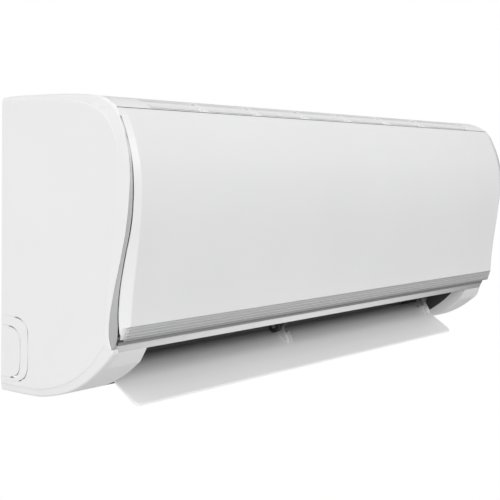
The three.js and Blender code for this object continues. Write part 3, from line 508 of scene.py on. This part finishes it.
# ------------------------------------------------------------------ camera
# It comes first: level view from the left of the front, with a vertical shift.
cam_data = bpy.data.cameras.new("camera")
cam = bpy.data.objects.new("camera", cam_data)
bpy.context.scene.collection.objects.link(cam)
R = Vector((0.63027587, -0.77635188, 0.00548553))
U = Vector((-0.00052263, 0.00664133, 0.99997781))
F = Vector((0.77637108, 0.63026475, -0.00378012))
cam.matrix_world = Matrix((
    (R.x, U.x, -F.x, -1.014825), (R.y, U.y, -F.y, -0.844012), (R.z, U.z, -F.z, 0.067136), (0, 0, 0, 1)))
cam_data.sensor_fit = "HORIZONTAL"
cam_data.sensor_width = 36
cam_data.lens = 75.755
cam_data.shift_x = 0.0
cam_data.shift_y = -0.154
cam_data.clip_start = 0.02
cam_data.clip_end = 50
bpy.context.scene.camera = cam

# ------------------------------------------------------------------ profiles
TOP_CURVE = [(0, 286.2), (-30, 286.6), (-60, 286.5), (-94, 285.8), (-115, 284.8),
             (-130, 283.4), (-141, 280.9), (-148, 277.9), (-153.2, 275.1), (-157.2, 272.4)]
FRONT_EDGE = [(-159.4, 270.4), (-162.6, 266), (-167.4, 255.9), (-171.5, 246.5), (-174.5, 237.7),
              (-176.9, 228.9), (-178.3, 217.5), (-178.4, 204), (-177.4, 190), (-175.9, 176.2),
              (-172.8, 159), (-168, 141), (-162.6, 122.5), (-157.6, 104.4), (-153.7, 87),
              (-152.1, 73), (-152.6, 63.5), (-154.6, 57.5), (-156.9, 53.2)]
UNDER_CURVE = [(-156.4, 50.8), (-149.8, 43.3), (-142.6, 36.8), (-135.6, 31), (-121, 20.5),
               (-103.6, 11.3), (-88.6, 5.9), (-72, 1.7), (-56, -0.9), (-40, -1.8), (0, -1.8)]
END_FLAT_TOP = [(0, 283.0), (-30, 282.9), (-60, 282.3), (-85, 281.2), (-106.7, 279.0), (-124.3, 275.4), (-138, 269.8)]
END_FLAT_FRONT = [(-141.2, 268), (-149.4, 261.1), (-156.6, 251.2), (-161.4, 240.5), (-164.0, 228.9), (-165.0, 215.6),
                  (-165.0, 203), (-164.4, 189), (-163.0, 174), (-160.9, 158), (-158.2, 141), (-155.2, 123), (-152.6, 105),
                  (-150.4, 88), (-149.0, 74), (-148.0, 65), (-146.6, 59), (-145.0, 56.2)]
END_FLAT_UNDER = [(-144.0, 54.6), (-131.6, 40.6), (-117.1, 29), (-102.4, 20.2), (-82.7, 12.5), (-59.3, 7.1), (-32, 5.7), (0, 5.4)]

PANEL_EDGE = [(-157.7, 271.8), (-160.7, 268.7), (-162.9, 265.4), (-167.2, 256.4), (-171.2, 247),
              (-174.3, 237.8), (-176.8, 228.9), (-178.8, 219), (-180, 207), (-180.2, 196),
              (-179.8, 184.9), (-178.6, 172), (-175.9, 158.4), (-172, 145), (-168.2, 130),
              (-164.8, 115), (-162.6, 100), (-161.6, 86), (-162.2, 76)]
PANEL_FRONT = [(-157.7, 271.8), (-161.2, 269.0), (-164, 265.8), (-168.9, 256.6), (-173.2, 247),
               (-176.4, 237.8), (-179, 228.9), (-181.2, 219), (-182.5, 207), (-182.8, 196),
               (-182.6, 184.9), (-181.7, 172), (-180, 158.4), (-178, 145), (-175.6, 130),
               (-173.4, 115), (-171.5, 100), (-170.2, 86), (-169.8, 76)]
PANEL_IN = [(-157.6, 267.6), (-159.6, 264.6), (-165.4, 255), (-169.9, 245.6), (-173.2, 236.8), (-175.9, 228),
            (-178, 218.4), (-179.4, 206.8), (-179.8, 196), (-179.5, 185.2), (-178.6, 172.5), (-177, 158.9),
            (-175, 145.5), (-172.6, 130.5), (-170.4, 115.5), (-168.5, 100.4), (-167.2, 86.2), (-165.6, 76.4), (-160.6, 63.4)]
FILTER_LINE = [(-157.4, 83), (-163.4, 132), (-168.4, 178), (-169.4, 203), (-167.2, 224),
               (-161.6, 243), (-151.5, 258), (-136, 267.6), (-114, 273.6), (-62, 277)]
LOUVER_AXIS = (-87, 33)
FAN_AXIS = (-74, 118)
PANEL_AXIS = (-156.8, 268.2)
GRILLE_ROWS = [(-156.1, -150.5), (-145.3, -137), (-131.5, -122.5), (-117, -107.5), (-101.5, -92),
               (-86, -76.5), (-58, -48.5), (-42.5, -33)]
GRILLE_RIBS = [-320, -238, -155, -70, 16, 102, 188, 318]


# ------------------------------------------------------------------ front frame
def border(z, on_front=1.0):
    """Edge radius of an end cap and the drop of its border below the flat, per height."""
    low = 1 - np.clip((np.asarray(z, float) - 128) / 40, 0, 1)
    high = np.clip((np.asarray(z, float) - 226) / 36, 0, 1)
    front_r, front_d = 0.25 + 0.65 * low + 0.6 * high, 0.12 + 0.2 * low + 0.6 * high
    return 2.4 + (front_r - 2.4) * on_front, 1.05 + (front_d - 1.05) * on_front


def frame_body():
    """The whole closed end profile carried along x, with rounded, sloping borders on the end faces."""
    parts = [(TOP_CURVE, END_FLAT_TOP, 90), ([TOP_CURVE[-1]] + FRONT_EDGE, [END_FLAT_TOP[-1]] + END_FLAT_FRONT, 150),
             (UNDER_CURVE, END_FLAT_UNDER, 90)]
    outer, flat = [], []
    for o, f, n in parts:
        oc, ic = smooth_even(o, n), smooth_even(f, n)
        if outer and np.linalg.norm(oc[0] - outer[-1][-1]) < 0.5:
            oc, ic = oc[1:], ic[1:]
        outer.append(oc)
        flat.append(ic)
    outer, flat = np.vstack(outer), np.vstack(flat)
    back = np.stack([np.zeros(30), np.linspace(-1.8, 286.2, 32)[1:-1]], 1)
    fback = np.stack([np.zeros(30), np.linspace(5.4, 283.0, 32)[1:-1]], 1)
    outer, flat = np.vstack([outer, back]), np.vstack([flat, fback])
    step = flat - outer
    dist = np.linalg.norm(step, axis=1)
    unit = step / np.maximum(dist, 1e-6)[:, None]
    centre = np.array([-75.0, 143.0])

    def flat_ring(x, inset):
        """Parallel to the edge of the flat end plateau; negative insets lie outside it."""
        if inset >= 0:
            p = flat + (centre - flat) / np.linalg.norm(centre - flat, axis=1)[:, None] * inset
        else:
            p = flat + unit * np.maximum(inset, -dist * 0.3)[:, None]
        return [(x, q[0], q[1]) for q in p]

    def step01(v, a, b):
        u = np.clip((v - a) / (b - a), 0, 1)
        return u * u * (3 - 2 * u)

    # edge radius: 2.4 over the top and underneath, sharp along the front where the trim lies
    on_front = step01(outer[:, 1], 51.5, 57) * (1 - step01(outer[:, 1], 262, 271)) * step01(-outer[:, 0], 130, 148)
    radius, drop = border(outer[:, 1], on_front)

    def plateau(inset, k):
        p = flat_ring(0, inset)
        return [(365 - dd * k, q[1], q[2]) for dd, q in zip(drop, p)]


    def edge_ring(deg):
        a = math.radians(deg)
        d = np.minimum(radius * (1 - math.cos(a)), dist * 0.5) if deg < 90 else np.minimum(radius, dist * 0.5)
        p = outer + unit * d[:, None]
        x = 365 - drop - radius * (1 - math.sin(a))
        return [(xx, q[0], q[1]) for xx, q in zip(x, p)]

    # groove where the end cap meets the top
    on_top = np.clip((outer[:, 1] - 271.0) / 3.0, 0, 1) * np.clip((-outer[:, 0] - 4) / 4, 0, 1)
    normal = side_of(outer)

    def dip(x, depth):
        p = outer + normal * (depth * on_top)[:, None]
        return [(x, q[0], q[1]) for q in p]

    rings = [plateau(5.0, 0), plateau(0.7, 0), plateau(0.25, 0.06), plateau(0.0, 0.26), plateau(-0.35, 0.59), plateau(-0.8, 0.73)]
    rings += [edge_ring(a) for a in (90, 70, 50, 30, 12, 0)]
    # now along the body
    rings += [dip(361.5, 0.0), dip(361.25, 0.45), dip(361.0, 0.75), dip(360.75, 0.45), dip(360.45, 0.12), dip(360.0, 0.0),
              dip(350.0, 0.0)]
    left = [[(-x, y, z) for x, y, z in rr] for rr in reversed(rings)]
    return rings_object("front_frame_shell", rings + left)


def signed_side(line, sign):
    return side_of(line) * sign


def arc_slot(name, path, width, x0, x1):
    """Narrow slot along a (y, z) path through an end wall; width per point."""
    c = catmull(path, 1.0)
    n = len(c)
    w = np.interp(np.linspace(0, 1, n), np.linspace(0, 1, len(width)), width)
    s = side_of(c)
    outline = [tuple(p) for p in (c + s * (w / 2)[:, None])] + [tuple(p) for p in (c - s * (w / 2)[:, None])[::-1]]
    return prism(name, outline, x0, x1)


KNOCK_OUTER = [(0.5, 72.9), (-2.8, 72.8), (-20.8, 72.1), (-29, 70.9), (-36.6, 66.8), (-40.5, 60.5), (-40.9, 49.9),
               (-40.9, 31.7), (-39.9, 21), (-36.2, 14.7), (-27.9, 10.6), (-14, 9.2), (0.5, 8.9)]
KNOCK_INNER = [(0.5, 63.6), (-2.9, 63.5), (-12.2, 62.6), (-19.9, 61.3), (-26.1, 57), (-29.1, 50.6), (-29.3, 42.8),
               (-29.3, 30.3), (-27.8, 20.4), (-23.3, 14.8), (-14.2, 12.6), (0.5, 12.4)]


def make_frame():
    ob = frame_body()
    cavity = catmull([(6, 0.8), (-40, 0.8), (-58, 1.9), (-72, 4.4), (-88.6, 8.6), (-103.6, 14), (-121, 23.4),
                      (-135.6, 34), (-146.6, 44.4)], 3).tolist()
    cavity += [(-152.3, 50.4), (-153, 57.5), (-210, 57.5), (-210, 272.4), (-157.2, 272.4), (-154.3, 271.9)]
    cavity += catmull([(-152, 273.1), (-147, 275.8), (-140, 278.5), (-129.5, 280.9),
                       (-115, 282.2), (-94, 283.2), (-60, 283.9), (6, 283.9)], 3).tolist()
    cut(ob, prism("c", cavity, -361.0, 361.0))
    cut(ob, box("c", -314.5, 314.5, -210, 6, -10, 64), prism("c", UNDER_STRIP, -356.6, 356.6))
    for x0, x1 in ((-357.2, -314.5), (314.5, 357.2)):
        join(ob, prism("c", CHEEK_FRONT, x0, x1))
    cut(ob, prism("c", RIGHT_TIP, 355.6, 368))
    bar = rounded([(-153.7, 62.3), (-148.7, 51.9), (-147.4, 50.9), (-145.9, 52.2), (-150.6, 61.3),
                   (-150.6, 65), (-153.7, 65)], 0.5, 3)
    join(ob, prism("c", bar, -361.2, 361.2))
    cheek = [(-40, -1)] + catmull([(-56, -0.3), (-72, 2.4), (-88.6, 6.6), (-103.6, 12), (-121, 21.2), (-135.6, 31.8),
                                   (-141.4, 36.2)], 3).tolist() + [(-147.4, 45.2), (-149.8, 49.6), (-150.6, 57), (-149.4, 62), (-40, 60)]
    join(ob, prism("c", cheek, -317, -314.5), prism("c", cheek, 314.5, 317))
    cut(ob, turned("c", [(-318, 0), (-318, 3.1), (-313, 3.1), (-313, 0)], (0, *LOUVER_AXIS), (1, 0, 0)),
        turned("c", [(313, 0), (313, 3.1), (318, 3.1), (318, 0)], (0, *LOUVER_AXIS), (1, 0, 0)))
    fl = catmull(FILTER_LINE, 4)
    s = -side_of(fl)
    inner, outerl = fl - s * 2.9, fl - s * 7.4
    if abs(inner[0][0]) > abs(fl[0][0]):
        inner, outerl = fl + s * 2.9, fl + s * 7.4
    guide = [(-153, 63.4)] + inner.tolist() + outerl[::-1].tolist() + [(-150.8, 63.4)]
    for x0, x1 in ((-311, -307), (-28.6, -25), (251.6, 255.6)):
        join(ob, prism("c", guide, x0, x1), prism("c", [(-60, 285), (-60, 270), (-72, 266.5), (-72, 285)], x0, x1))
    for x in (-200, 200):
        lug = rounded([(x - 7, 62.6), (x + 7, 62.6), (x + 7, 79), (x - 7, 79)], [0, 0, 3, 3])
        join(ob, slab_y("c", lug, -153.6, -151))
        cut(ob, turned("c", [(-155, 0), (-155, 2.3), (-150, 2.3), (-150, 0)], (x, 0, 72), (0, 1, 0)))
    # intake slots with rounded ends
    slots = []
    for y0, y1 in GRILLE_ROWS:
        z0 = 272.9 if y1 < -149 else 275.5
        for i in range(len(GRILLE_RIBS) - 1):
            x0, x1 = GRILLE_RIBS[i] + 3, GRILLE_RIBS[i + 1] - 3
            slots.append(slab_z("c", rounded([(x0, y0), (x1, y0), (x1, y1), (x0, y1)], 2.6, 4), z0, 289))
    cut(ob, group("c", slots))
    for s0 in (-1, 1):
        cut(ob, trim_solid("c", s0, True))
    for s0 in (-1, 1):
        cut(ob, turned("c", [(360, 0), (360, 2), (363.4, 2), (363.4, 0)], (0, *PANEL_AXIS), (s0, 0, 0), 16))
    # pipe knock-outs: shallow scored lines, cut through over short lengths
    for s0 in (-1, 1):
        x_in, x_out = (-366, -364.55) if s0 < 0 else (364.55, 366)
        cut(ob, arc_slot("c", KNOCK_OUTER, [0.55] * 13, x_in, x_out))
        cut(ob, arc_slot("c", KNOCK_INNER, [0.55] * 12, x_in, x_out))
        thru = [([(-20.5, 72.1), (-25, 71.7), (-29.2, 70.7), (-33.5, 68.9)], [0.9, 1.5, 1.3, 0.5]),
                ([(-39.3, 63.5), (-40.7, 57), (-40.9, 49)], [0.4, 0.8, 0.7]),
                ([(-40.9, 33.5), (-40.4, 24), (-37.6, 16.8), (-33.2, 12.8), (-27, 10.4)], [0.5, 0.8, 1.2, 1.6, 1.1]),
                ([(-11.5, 62.6), (-16, 62.1), (-20.5, 61), (-24.4, 58.6)], [0.9, 1.5, 1.2, 0.5]),
                ([(-28.9, 52.5), (-29.3, 47), (-29.3, 42)], [0.4, 0.8, 0.6]),
                ([(-29.3, 30.5), (-28.6, 23), (-25.6, 17.2), (-20.6, 13.8), (-14, 12.6)], [0.5, 0.9, 1.4, 2.0, 1.3])]
        a, b = (-367, -355) if s0 < 0 else (355, 367)
        for path, w in thru:
            cut(ob, arc_slot("c", path, w, a, b))
    return ob


UNDER_STRIP = [(-210, 20), (-210, 64), (-151.2, 64), (-151.2, 52), (-149.9, 50.2), (-147.4, 45.4), (-144.6, 40.4),
               (-141.2, 35.0), (-146, 20)]
CHEEK_FRONT = [(-150.7, 50.1), (-150.3, 49.2), (-147.6, 44.6), (-144.7, 40.0), (-141.6, 35.6), (-138.0, 38.6), (-144.4, 51.5),
               (-148.6, 58.0), (-150.9, 57.0)]
RIGHT_TIP = [(-180, 28), (-180, 66), (-158, 66), (-152.4, 62.4), (-148.6, 52), (-144.0, 38.6), (-146, 28)]
TRIM_OUTER = [(-164.0, 263.2), (-167.4, 255.9), (-171.5, 246.5), (-174.5, 237.7), (-176.9, 228.9), (-178.3, 217.5),
              (-178.4, 204), (-177.4, 190), (-175.9, 176.2), (-172.8, 159), (-168, 141), (-162.6, 122.5), (-157.6, 104.4),
              (-153.7, 87), (-152.1, 73), (-152.6, 63.5), (-154.4, 57.9), (-156.0, 55.2)]
TRIM_INNER = [(-164.2, 263.2), (-167.9, 255.9), (-171.8, 246.5), (-174.9, 237.7), (-177.4, 228.9), (-178.9, 217.5),
              (-179.7, 204), (-179.6, 190), (-178.6, 176.2), (-175.5, 159), (-170.6, 141), (-166.2, 122.5), (-162.8, 104.4),
              (-161.3, 87), (-161.7, 73), (-160.9, 65.0), (-158.9, 58.9), (-157.0, 55.4)]


def trim_solid(name, s0, cutter=False):
    """Silver band between an end cap's front edge and the front panel; cutter gives the seat it lies in."""
    a, b = smooth_even(TRIM_OUTER, 110), smooth_even(TRIM_INNER, 110)
    z = np.linspace(263.2, 55.25, 150)
    ya = np.interp(-z, -a[:, 1], a[:, 0])
    yb = np.interp(-z, -b[:, 1], b[:, 0])
    depth = 0.9 + 3.6 * np.clip((263.2 - z) / 22, 0, 1)
    r_edge, d_edge = border(z)
    lip = 365 - r_edge - d_edge
    rings = []
    if cutter:
        z[0] += 0.6
        z[-1] -= 0.5
    for k in range(len(z)):
        o, i, d, h, e = ya[k], yb[k], depth[k], z[k], lip[k]
        if cutter:
            back = max(o, i) + d + 0.2
            pts = [(e + 0.06, o - 12), (e + 0.06, back), (355, back), (355, o - 12)]
        else:
            back = max(o, i) + d
            w = e - 361.9
            pts = [(e, o + 0.6), (e - 0.04, o + 0.1), (e - 0.2, o - 0.06 + (i - o) * 0.05), (e - w * 0.5, o + (i - o) * 0.42),
                   (362.15, i + 0.08), (361.95, i + 0.22), (361.85, i + 0.7), (361.3, back), (e, back)]
        rings.append([(s0 * x, y, h) for x, y in pts])
    return rings_object(name, rings)


frame_shell = make_frame()
dress(frame_shell, M["casing"], "casing", ["front_frame"], 28)

# ------------------------------------------------------------------ side trims
for name, s0 in (("side_trim_left", -1), ("side_trim_right", 1)):
    skin = trim_solid(name + "_skin", s0)
    if s0 > 0:
        cut(skin, prism("c", RIGHT_TIP, 355.6, 368))
    dress(skin, M["silver"], "casing", [name], 40)

# ------------------------------------------------------------------ dark sheets inside the outlet's ends: painted shade for the duct walls
duct_side = [(-126.9, 41.9), (-118, 33.6), (-108, 26), (-97.3, 18.8), (-84, 12.8), (-70, 8.6), (-56, 6.4), (-47.2, 6.4),
             (-47.2, 61.4), (-137, 61.4), (-137, 52.4)]
for name, s0 in (("outlet_side_left", -1), ("outlet_side_right", 1)):
    plate = prism(name, rounded(duct_side, 1.0, 2), *((-314.45, -313.95) if s0 < 0 else (313.95, 314.45)))
    cut(plate, turned("c", [(312, 0), (312, 4.2), (317, 4.2), (317, 0)], (0, *LOUVER_AXIS), (s0, 0, 0), 24))
    dress(plate, M["duct"], "casing", [], 30)

# ------------------------------------------------------------------ strip above the outlet
STRIP = [(-156.0, 57.3), (-155.7, 56.5), (-150.9, 50.2), (-149.2, 50.8), (-153.4, 58.6)]
strip_line = rounded(STRIP, [0.2, 0.2, 0.4, 0.3, 0.3], 3)
# dark grey channel between panel and strip: painted shade under the panel's lower edge
channel = prism("strip_channel", rounded([(-157.3, 60.9), (-155.9, 57.45), (-153.6, 58.8), (-155.4, 61.6)], 0.2, 2), -356.4, 354.0)
dress(channel, M["channel"], "casing", [], 35)


strip = prism("outlet_strip", strip_line, -357.6, 355)
for s0 in (-1, 1):
    a, b = (-359.6, -353.4) if s0 < 0 else (356.6, 350.4)
    wedge = mesh_object("c", [(a, -160, 48), (a, -160, 64), (b, -160, 48), (b, -160, 64), (a, -150.2, 48), (a, -150.2, 64)],
                        [(0, 1, 3, 2), (0, 2, 4), (1, 5, 3), (0, 4, 5, 1), (2, 3, 5, 4)])
    cut(strip, wedge)
strip = bevel(strip, 0.25, 2, 30)
dress(strip, M["strip"], "casing", ["lower_trim_strip"], 35)


# ------------------------------------------------------------------ front panel
def make_panel():
    front = smooth_even(PANEL_FRONT, 130)
    edge = smooth_even(PANEL_EDGE, 130)
    inn = smooth_even(PANEL_IN, 130)
    thin = edge + side_of(edge) * 0.6
    if thin[60][0] < edge[60][0]:
        thin = edge - side_of(edge) * 0.6
    low_f = np.array([(-169.8, 75.6), (-167, 75.6), (-162.2, 63.2)], float)
    low_e = np.array([(-162.8, 74), (-163.1, 71.5), (-163.5, 69)], float)

    def ring(x, t, rim=False):
        f = front + (edge - front) * t
        lo = low_f + (low_e - low_f) * t
        b = thin.copy() if rim else inn
        if rim:
            b[-1] = (-162.6, 70)
        else:
            skin = np.vstack([f[:-1], lo])
            order = np.argsort(skin[:, 1])
            b = b.copy()
            b[:, 0] = np.maximum(b[:, 0], np.interp(b[:, 1], skin[order, 1], skin[order, 0]) + 0.9)
        return [(x, p[0], p[1]) for p in np.vstack([f[:-1], lo, b[::-1]])]

    half = [ring(361, 1, True), ring(360.75, 0.965, True), ring(360.3, 0.9, True), ring(358.9, 0.7, True),
            ring(358.6, 0.657), ring(356.5, 0.357), ring(354.7, 0.10), ring(354.2, 0.03), ring(353.6, 0.0), ring(352.4, 0.0)]
    left = [[(-x, y, z) for x, y, z in r] for r in half]
    ob = rings_object("front_panel_shell", left + half[::-1])
    return ob


panel = make_panel()
dress(panel, M["panel"], "front_panel", ["front_panel"], 28)


for side, s0 in (("left", -1), ("right", 1)):
    web = prism("panel_pivot_" + side, [(-158.6, 268.6), (-156.8, 270.0), (-154.8, 268.2), (-156, 265.6), (-159.4, 262),
                                        (-163.4, 255), (-164.9, 255.6), (-159.4, 264.6)],
                *((-358.4, -354.4) if s0 < 0 else (354.4, 358.4)))
    join(web, turned("c", [(356, 0), (356, 1.6), (362.9, 1.6), (363.1, 1.4), (363.1, 0)], (0, *PANEL_AXIS), (s0, 0, 0), 16))
    dress(web, M["panel"], "front_panel", [], 30)


def make_chamfer():
    """Ridged band along the panel's lower edge, mitred at both ends."""
    a, b = np.array((-169.75, 75.3)), np.array((-164.3, 63.0))
    nrm = np.array((-0.914, -0.405))
    prof = [tuple(a)]
    for k in range(4):
        prof.append(tuple(a + (b - a) * ((k + 0.34) / 4) + nrm * (0.10 if k else 0.0)))
        prof.append(tuple(a + (b - a) * ((k + 0.90) / 4) - nrm * 0.85))
    prof += [(-164.5, 62.9), (-163.8, 62.4), (-162.7, 63.0), (-167.0, 75.2)]
    def x_end(z):
        return 353.9 + (75.2 - z) / 12.2 * 2.6
    left = [(-x_end(z), y, z) for y, z in prof]
    right = [(x_end(z), y, z) for y, z in prof]
    return rings_object("panel_chamfer_band", [left, right])


chamfer = make_chamfer()
dress(chamfer, M["chamfer"], "front_panel", ["panel_lower_trim"], 20)


# ------------------------------------------------------------------ louver
OPEN = 55.8
BLADE_TOP = [(-78.5, 29.4), (-83, 25.9), (-88, 22.1), (-96, 16.2), (-105.2, 10.2), (-116, 3.3), (-126.4, -3.3), (-132.6, -7.4)]


def make_louver():
    """The blade as it hangs in the photograph, its pivot ears and its pins."""
    top = smooth_even(BLADE_TOP, 60)
    s = side_of(top)
    if s[30][1] > 0:
        s = -s
    L = np.r_[0, np.cumsum(np.linalg.norm(np.diff(top, axis=0), axis=1))]
    total = L[-1]

    def ring(x, lo, hi):
        u = np.linspace(lo, hi, 60)
        o = np.stack([np.interp(u, L, top[:, k]) for k in range(2)], 1)
        n = np.stack([np.interp(u, L, s[:, k]) for k in range(2)], 1)
        e = np.minimum(u - lo, hi - u)
        t = 0.5 + 1.9 * np.sqrt(1 - (1 - np.clip(e / 1.3, 0, 1)) ** 2)
        drop = (2.4 - t) * 0.5
        upper = o + n * drop[:, None]
        lower = o + n * (drop + t)[:, None]
        return [(x, p[0], p[1]) for p in np.vstack([upper, lower[::-1]])]

    def corner(e, r):
        return r * (1 - math.sqrt(max(0.0, 1 - (1 - min(e / r, 1.0)) ** 2)))

    half = []
    for e in (0.0, 0.25, 0.7, 1.3, 2.2, 3.4, 5.0, 7.0, 9.0, 60, 160):
        half.append((308 - e, corner(e, 4.0) if e < 4 else 0.0, total - (corner(e, 6.0) if e < 6 else 0.0)))
    rings = [ring(-x, a, b) for x, a, b in half] + [ring(0, 0, total)] + [ring(x, a, b) for x, a, b in reversed(half)]
    ob = rings_object("louver_blade", rings)
    c = np.array(LOUVER_AXIS)
    lobe = [tuple(c + 5.6 * np.array((math.cos(a), math.sin(a)))) for a in np.radians(np.arange(-20, 200, 15))]
    ear = lobe + [(-93.8, 27.5), (-98.4, 20.0), (-100.6, 12.2), (-88, 21.2), (-80.2, 27.4), (-80.2, 30.8)]
    for x0, x1 in ((-307, -303.4), (-29.4, -26), (300.6, 307)):
        join(ob, bevel(prism("c", ear, x0, x1), 0.5, 2, 40))
    wing = [(-101, 12.0), (-96.5, 19.6), (-93.6, 25.2), (-91.2, 26.8), (-89.2, 24.8), (-88.6, 20.6)]
    for x0, x1 in ((-24.6, -22.2), (-19.6, -17.4), (292.6, 294.8)):
        join(ob, bevel(prism("c", wing, x0, x1), 0.4, 2, 40))
    join(ob, tube("c", [(-28, -92.6, 23.6), (-18, -92.6, 23.6)], 1.6, 12), tube("c", [(293.6, -92.6, 23.6), (302, -92.6, 23.6)], 1.6, 12))
    join(ob, turned("c", [(-316.6, 0), (-316.6, 2.2), (-316.2, 2.6), (-304, 2.6), (-304, 0)], (0, *LOUVER_AXIS), (1, 0, 0), 24),
         turned("c", [(-40.6, 0), (-40.6, 2.1), (-40.3, 2.4), (-27, 2.4), (-27, 0)], (0, *LOUVER_AXIS), (1, 0, 0), 24))
    cut(ob, turned("c", [(299, 0), (299, 2.9), (308.5, 2.9), (308.5, 0)], (0, *LOUVER_AXIS), (1, 0, 0), 24))
    return ob


louver = make_louver()
dress(louver, M["louver"], "louver", ["louver"], 30)

c0 = np.array(LOUVER_AXIS)
bracket_line = [(-99, 52), (-76, 52), (-76.5, 44)] + \
    [tuple(c0 + 7.5 * np.array((math.cos(a), math.sin(a)))) for a in np.radians(np.arange(0, -181, -15))] + [(-97.5, 44)]
bracket = prism("pivot_bracket", bracket_line, -39.4, -36.8)
cut(bracket, turned("c", [(-41, 0), (-41, 2.8), (-35, 2.8), (-35, 0)], (0, *LOUVER_AXIS), (1, 0, 0), 24))
bevel(bracket, 0.3, 2, 40)
dress(bracket, M["duct"], "casing", [], 30)

# ------------------------------------------------------------------ carried-over pieces
CARRY = {
    "rear_chassis": "chassis", "drain_pan": "chassis", "bearing_holder": "chassis", "pipe_clamp": "chassis",
    "motor_clamp": "chassis", "vane_base_left": "vane", "vane_base_right": "vane", "vane_link_left": "vane",
    "vane_link_right": "vane", "fan_wheel": "fan", "fan_motor": "motor", "mounting_plate": "zinc",
    "coil_end_plate_left": "zinc", "coil_end_plate_right": "zinc", "louver_motor": "stepper",
    "coil_front_lower": "fins", "coil_front_upper": "fins", "coil_rear": "fins", "coil_tube": "copper",
    "gas_pipe": "copper", "liquid_pipe": "copper", "coil_sensor": "copper", "flare_nut_gas": "brass",
    "flare_nut_liquid": "brass", "fan_stub_shaft": "steel", "motor_shaft": "steel", "louver_drive_spindle": "steel",
    "frame_screw_left": "steel", "frame_screw_right": "steel", "button_spring": "steel", "fan_bearing": "rubber",
    "room_sensor": "rubber", "air_filter_left": "filter", "air_filter_right": "filter", "control_box": "cbox",
    "control_box_cover": "zinc", "control_board": "board", "display_board": "board", "terminal_block": "terminal",
    "emergency_button": "button",
}
for side in ("left", "right"):
    for i in range(1, 6):
        CARRY[f"vane_{side}_{i}"] = "vane"
for node, key in CARRY.items():
    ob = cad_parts[node]
    while len(ob.material_slots) < 1:
        ob.data.materials.append(None)
    for sl in ob.material_slots:
        sl.link = "OBJECT"
        sl.material = M[key]

# ------------------------------------------------------------------ floor, light
floor = slab_z("floor", [(-1750, -1900), (1750, -1900), (1750, 1650), (-1750, 1650)], -1215, -1205)
floor.data.materials.append(M["floor"])

world = bpy.data.worlds.new("world")
bpy.context.scene.world = world
world.use_nodes = True
wn = world.node_tree
bg = wn.nodes["Background"]
out = wn.nodes["World Output"]


def glow(direction, power, amount, before=None):
    """Soft lobe of light from one side, added to what came before."""
    tc = wn.nodes.new("ShaderNodeTexCoord")
    dot = wn.nodes.new("ShaderNodeVectorMath")
    dot.operation = "DOT_PRODUCT"
    dot.inputs[1].default_value = Vector(direction).normalized()
    wn.links.new(tc.outputs["Generated"], dot.inputs[0])
    ops = (("MAXIMUM", 0.0), ("POWER", power), ("MULTIPLY", amount))
    sock = dot.outputs["Value"]
    for op, v in ops:
        m = wn.nodes.new("ShaderNodeMath")
        m.operation = op
        m.inputs[1].default_value = v
        wn.links.new(sock, m.inputs[0])
        sock = m.outputs["Value"]
    if before is None:
        return sock
    a = wn.nodes.new("ShaderNodeMath")
    a.operation = "ADD"
    wn.links.new(before, a.inputs[0])
    wn.links.new(sock, a.inputs[1])
    return a.outputs["Value"]


level = glow((-1, 0.30, 0.05), 2.0, 1.47)
level = glow((0, 0.30, 0.95), 8.0, 1.20, level)
level = glow((-0.6, -0.6, 0.5), 5.0, 0.73, level)
level = glow((0, -0.75, -0.65), 6.0, 0.42, level)
level = glow((1, 0.25, 0.1), 2.0, 0.50, level)
wn.links.new(level, bg.inputs["Strength"])
bg.inputs["Color"].default_value = (1, 1, 1, 1)
bg2 = wn.nodes.new("ShaderNodeBackground")
bg2.inputs["Color"].default_value = (1, 1, 1, 1)
bg2.inputs["Strength"].default_value = 1.0
lp = wn.nodes.new("ShaderNodeLightPath")
mix = wn.nodes.new("ShaderNodeMixShader")
wn.links.new(lp.outputs["Is Camera Ray"], mix.inputs["Fac"])
wn.links.new(bg.outputs["Background"], mix.inputs[1])
wn.links.new(bg2.outputs["Background"], mix.inputs[2])
wn.links.new(mix.outputs["Shader"], out.inputs["Surface"])


def softbox(name, place, aim, size, power):
    d = bpy.data.lights.new(name, "AREA")
    d.shape = "RECTANGLE"
    d.size, d.size_y = size
    d.energy = power
    o = bpy.data.objects.new(name, d)
    bpy.context.scene.collection.objects.link(o)
    o.location = place
    o.rotation_euler = (Vector(aim) - Vector(place)).to_track_quat("-Z", "Y").to_euler()
    return o


softbox("front_soft", (-0.4, -2.6, 1.25), (0, -0.1, 0), (2.4, 1.2), 38.5)
softbox("front_high", (0.35, -2.3, 1.8), (0, -0.1, 0), (2.4, 1.2), 12)

scene = bpy.context.scene
scene.view_settings.view_transform = "Standard"
scene.view_settings.look = "None"
scene.view_settings.exposure = 0.0
scene.view_settings.gamma = 1.0
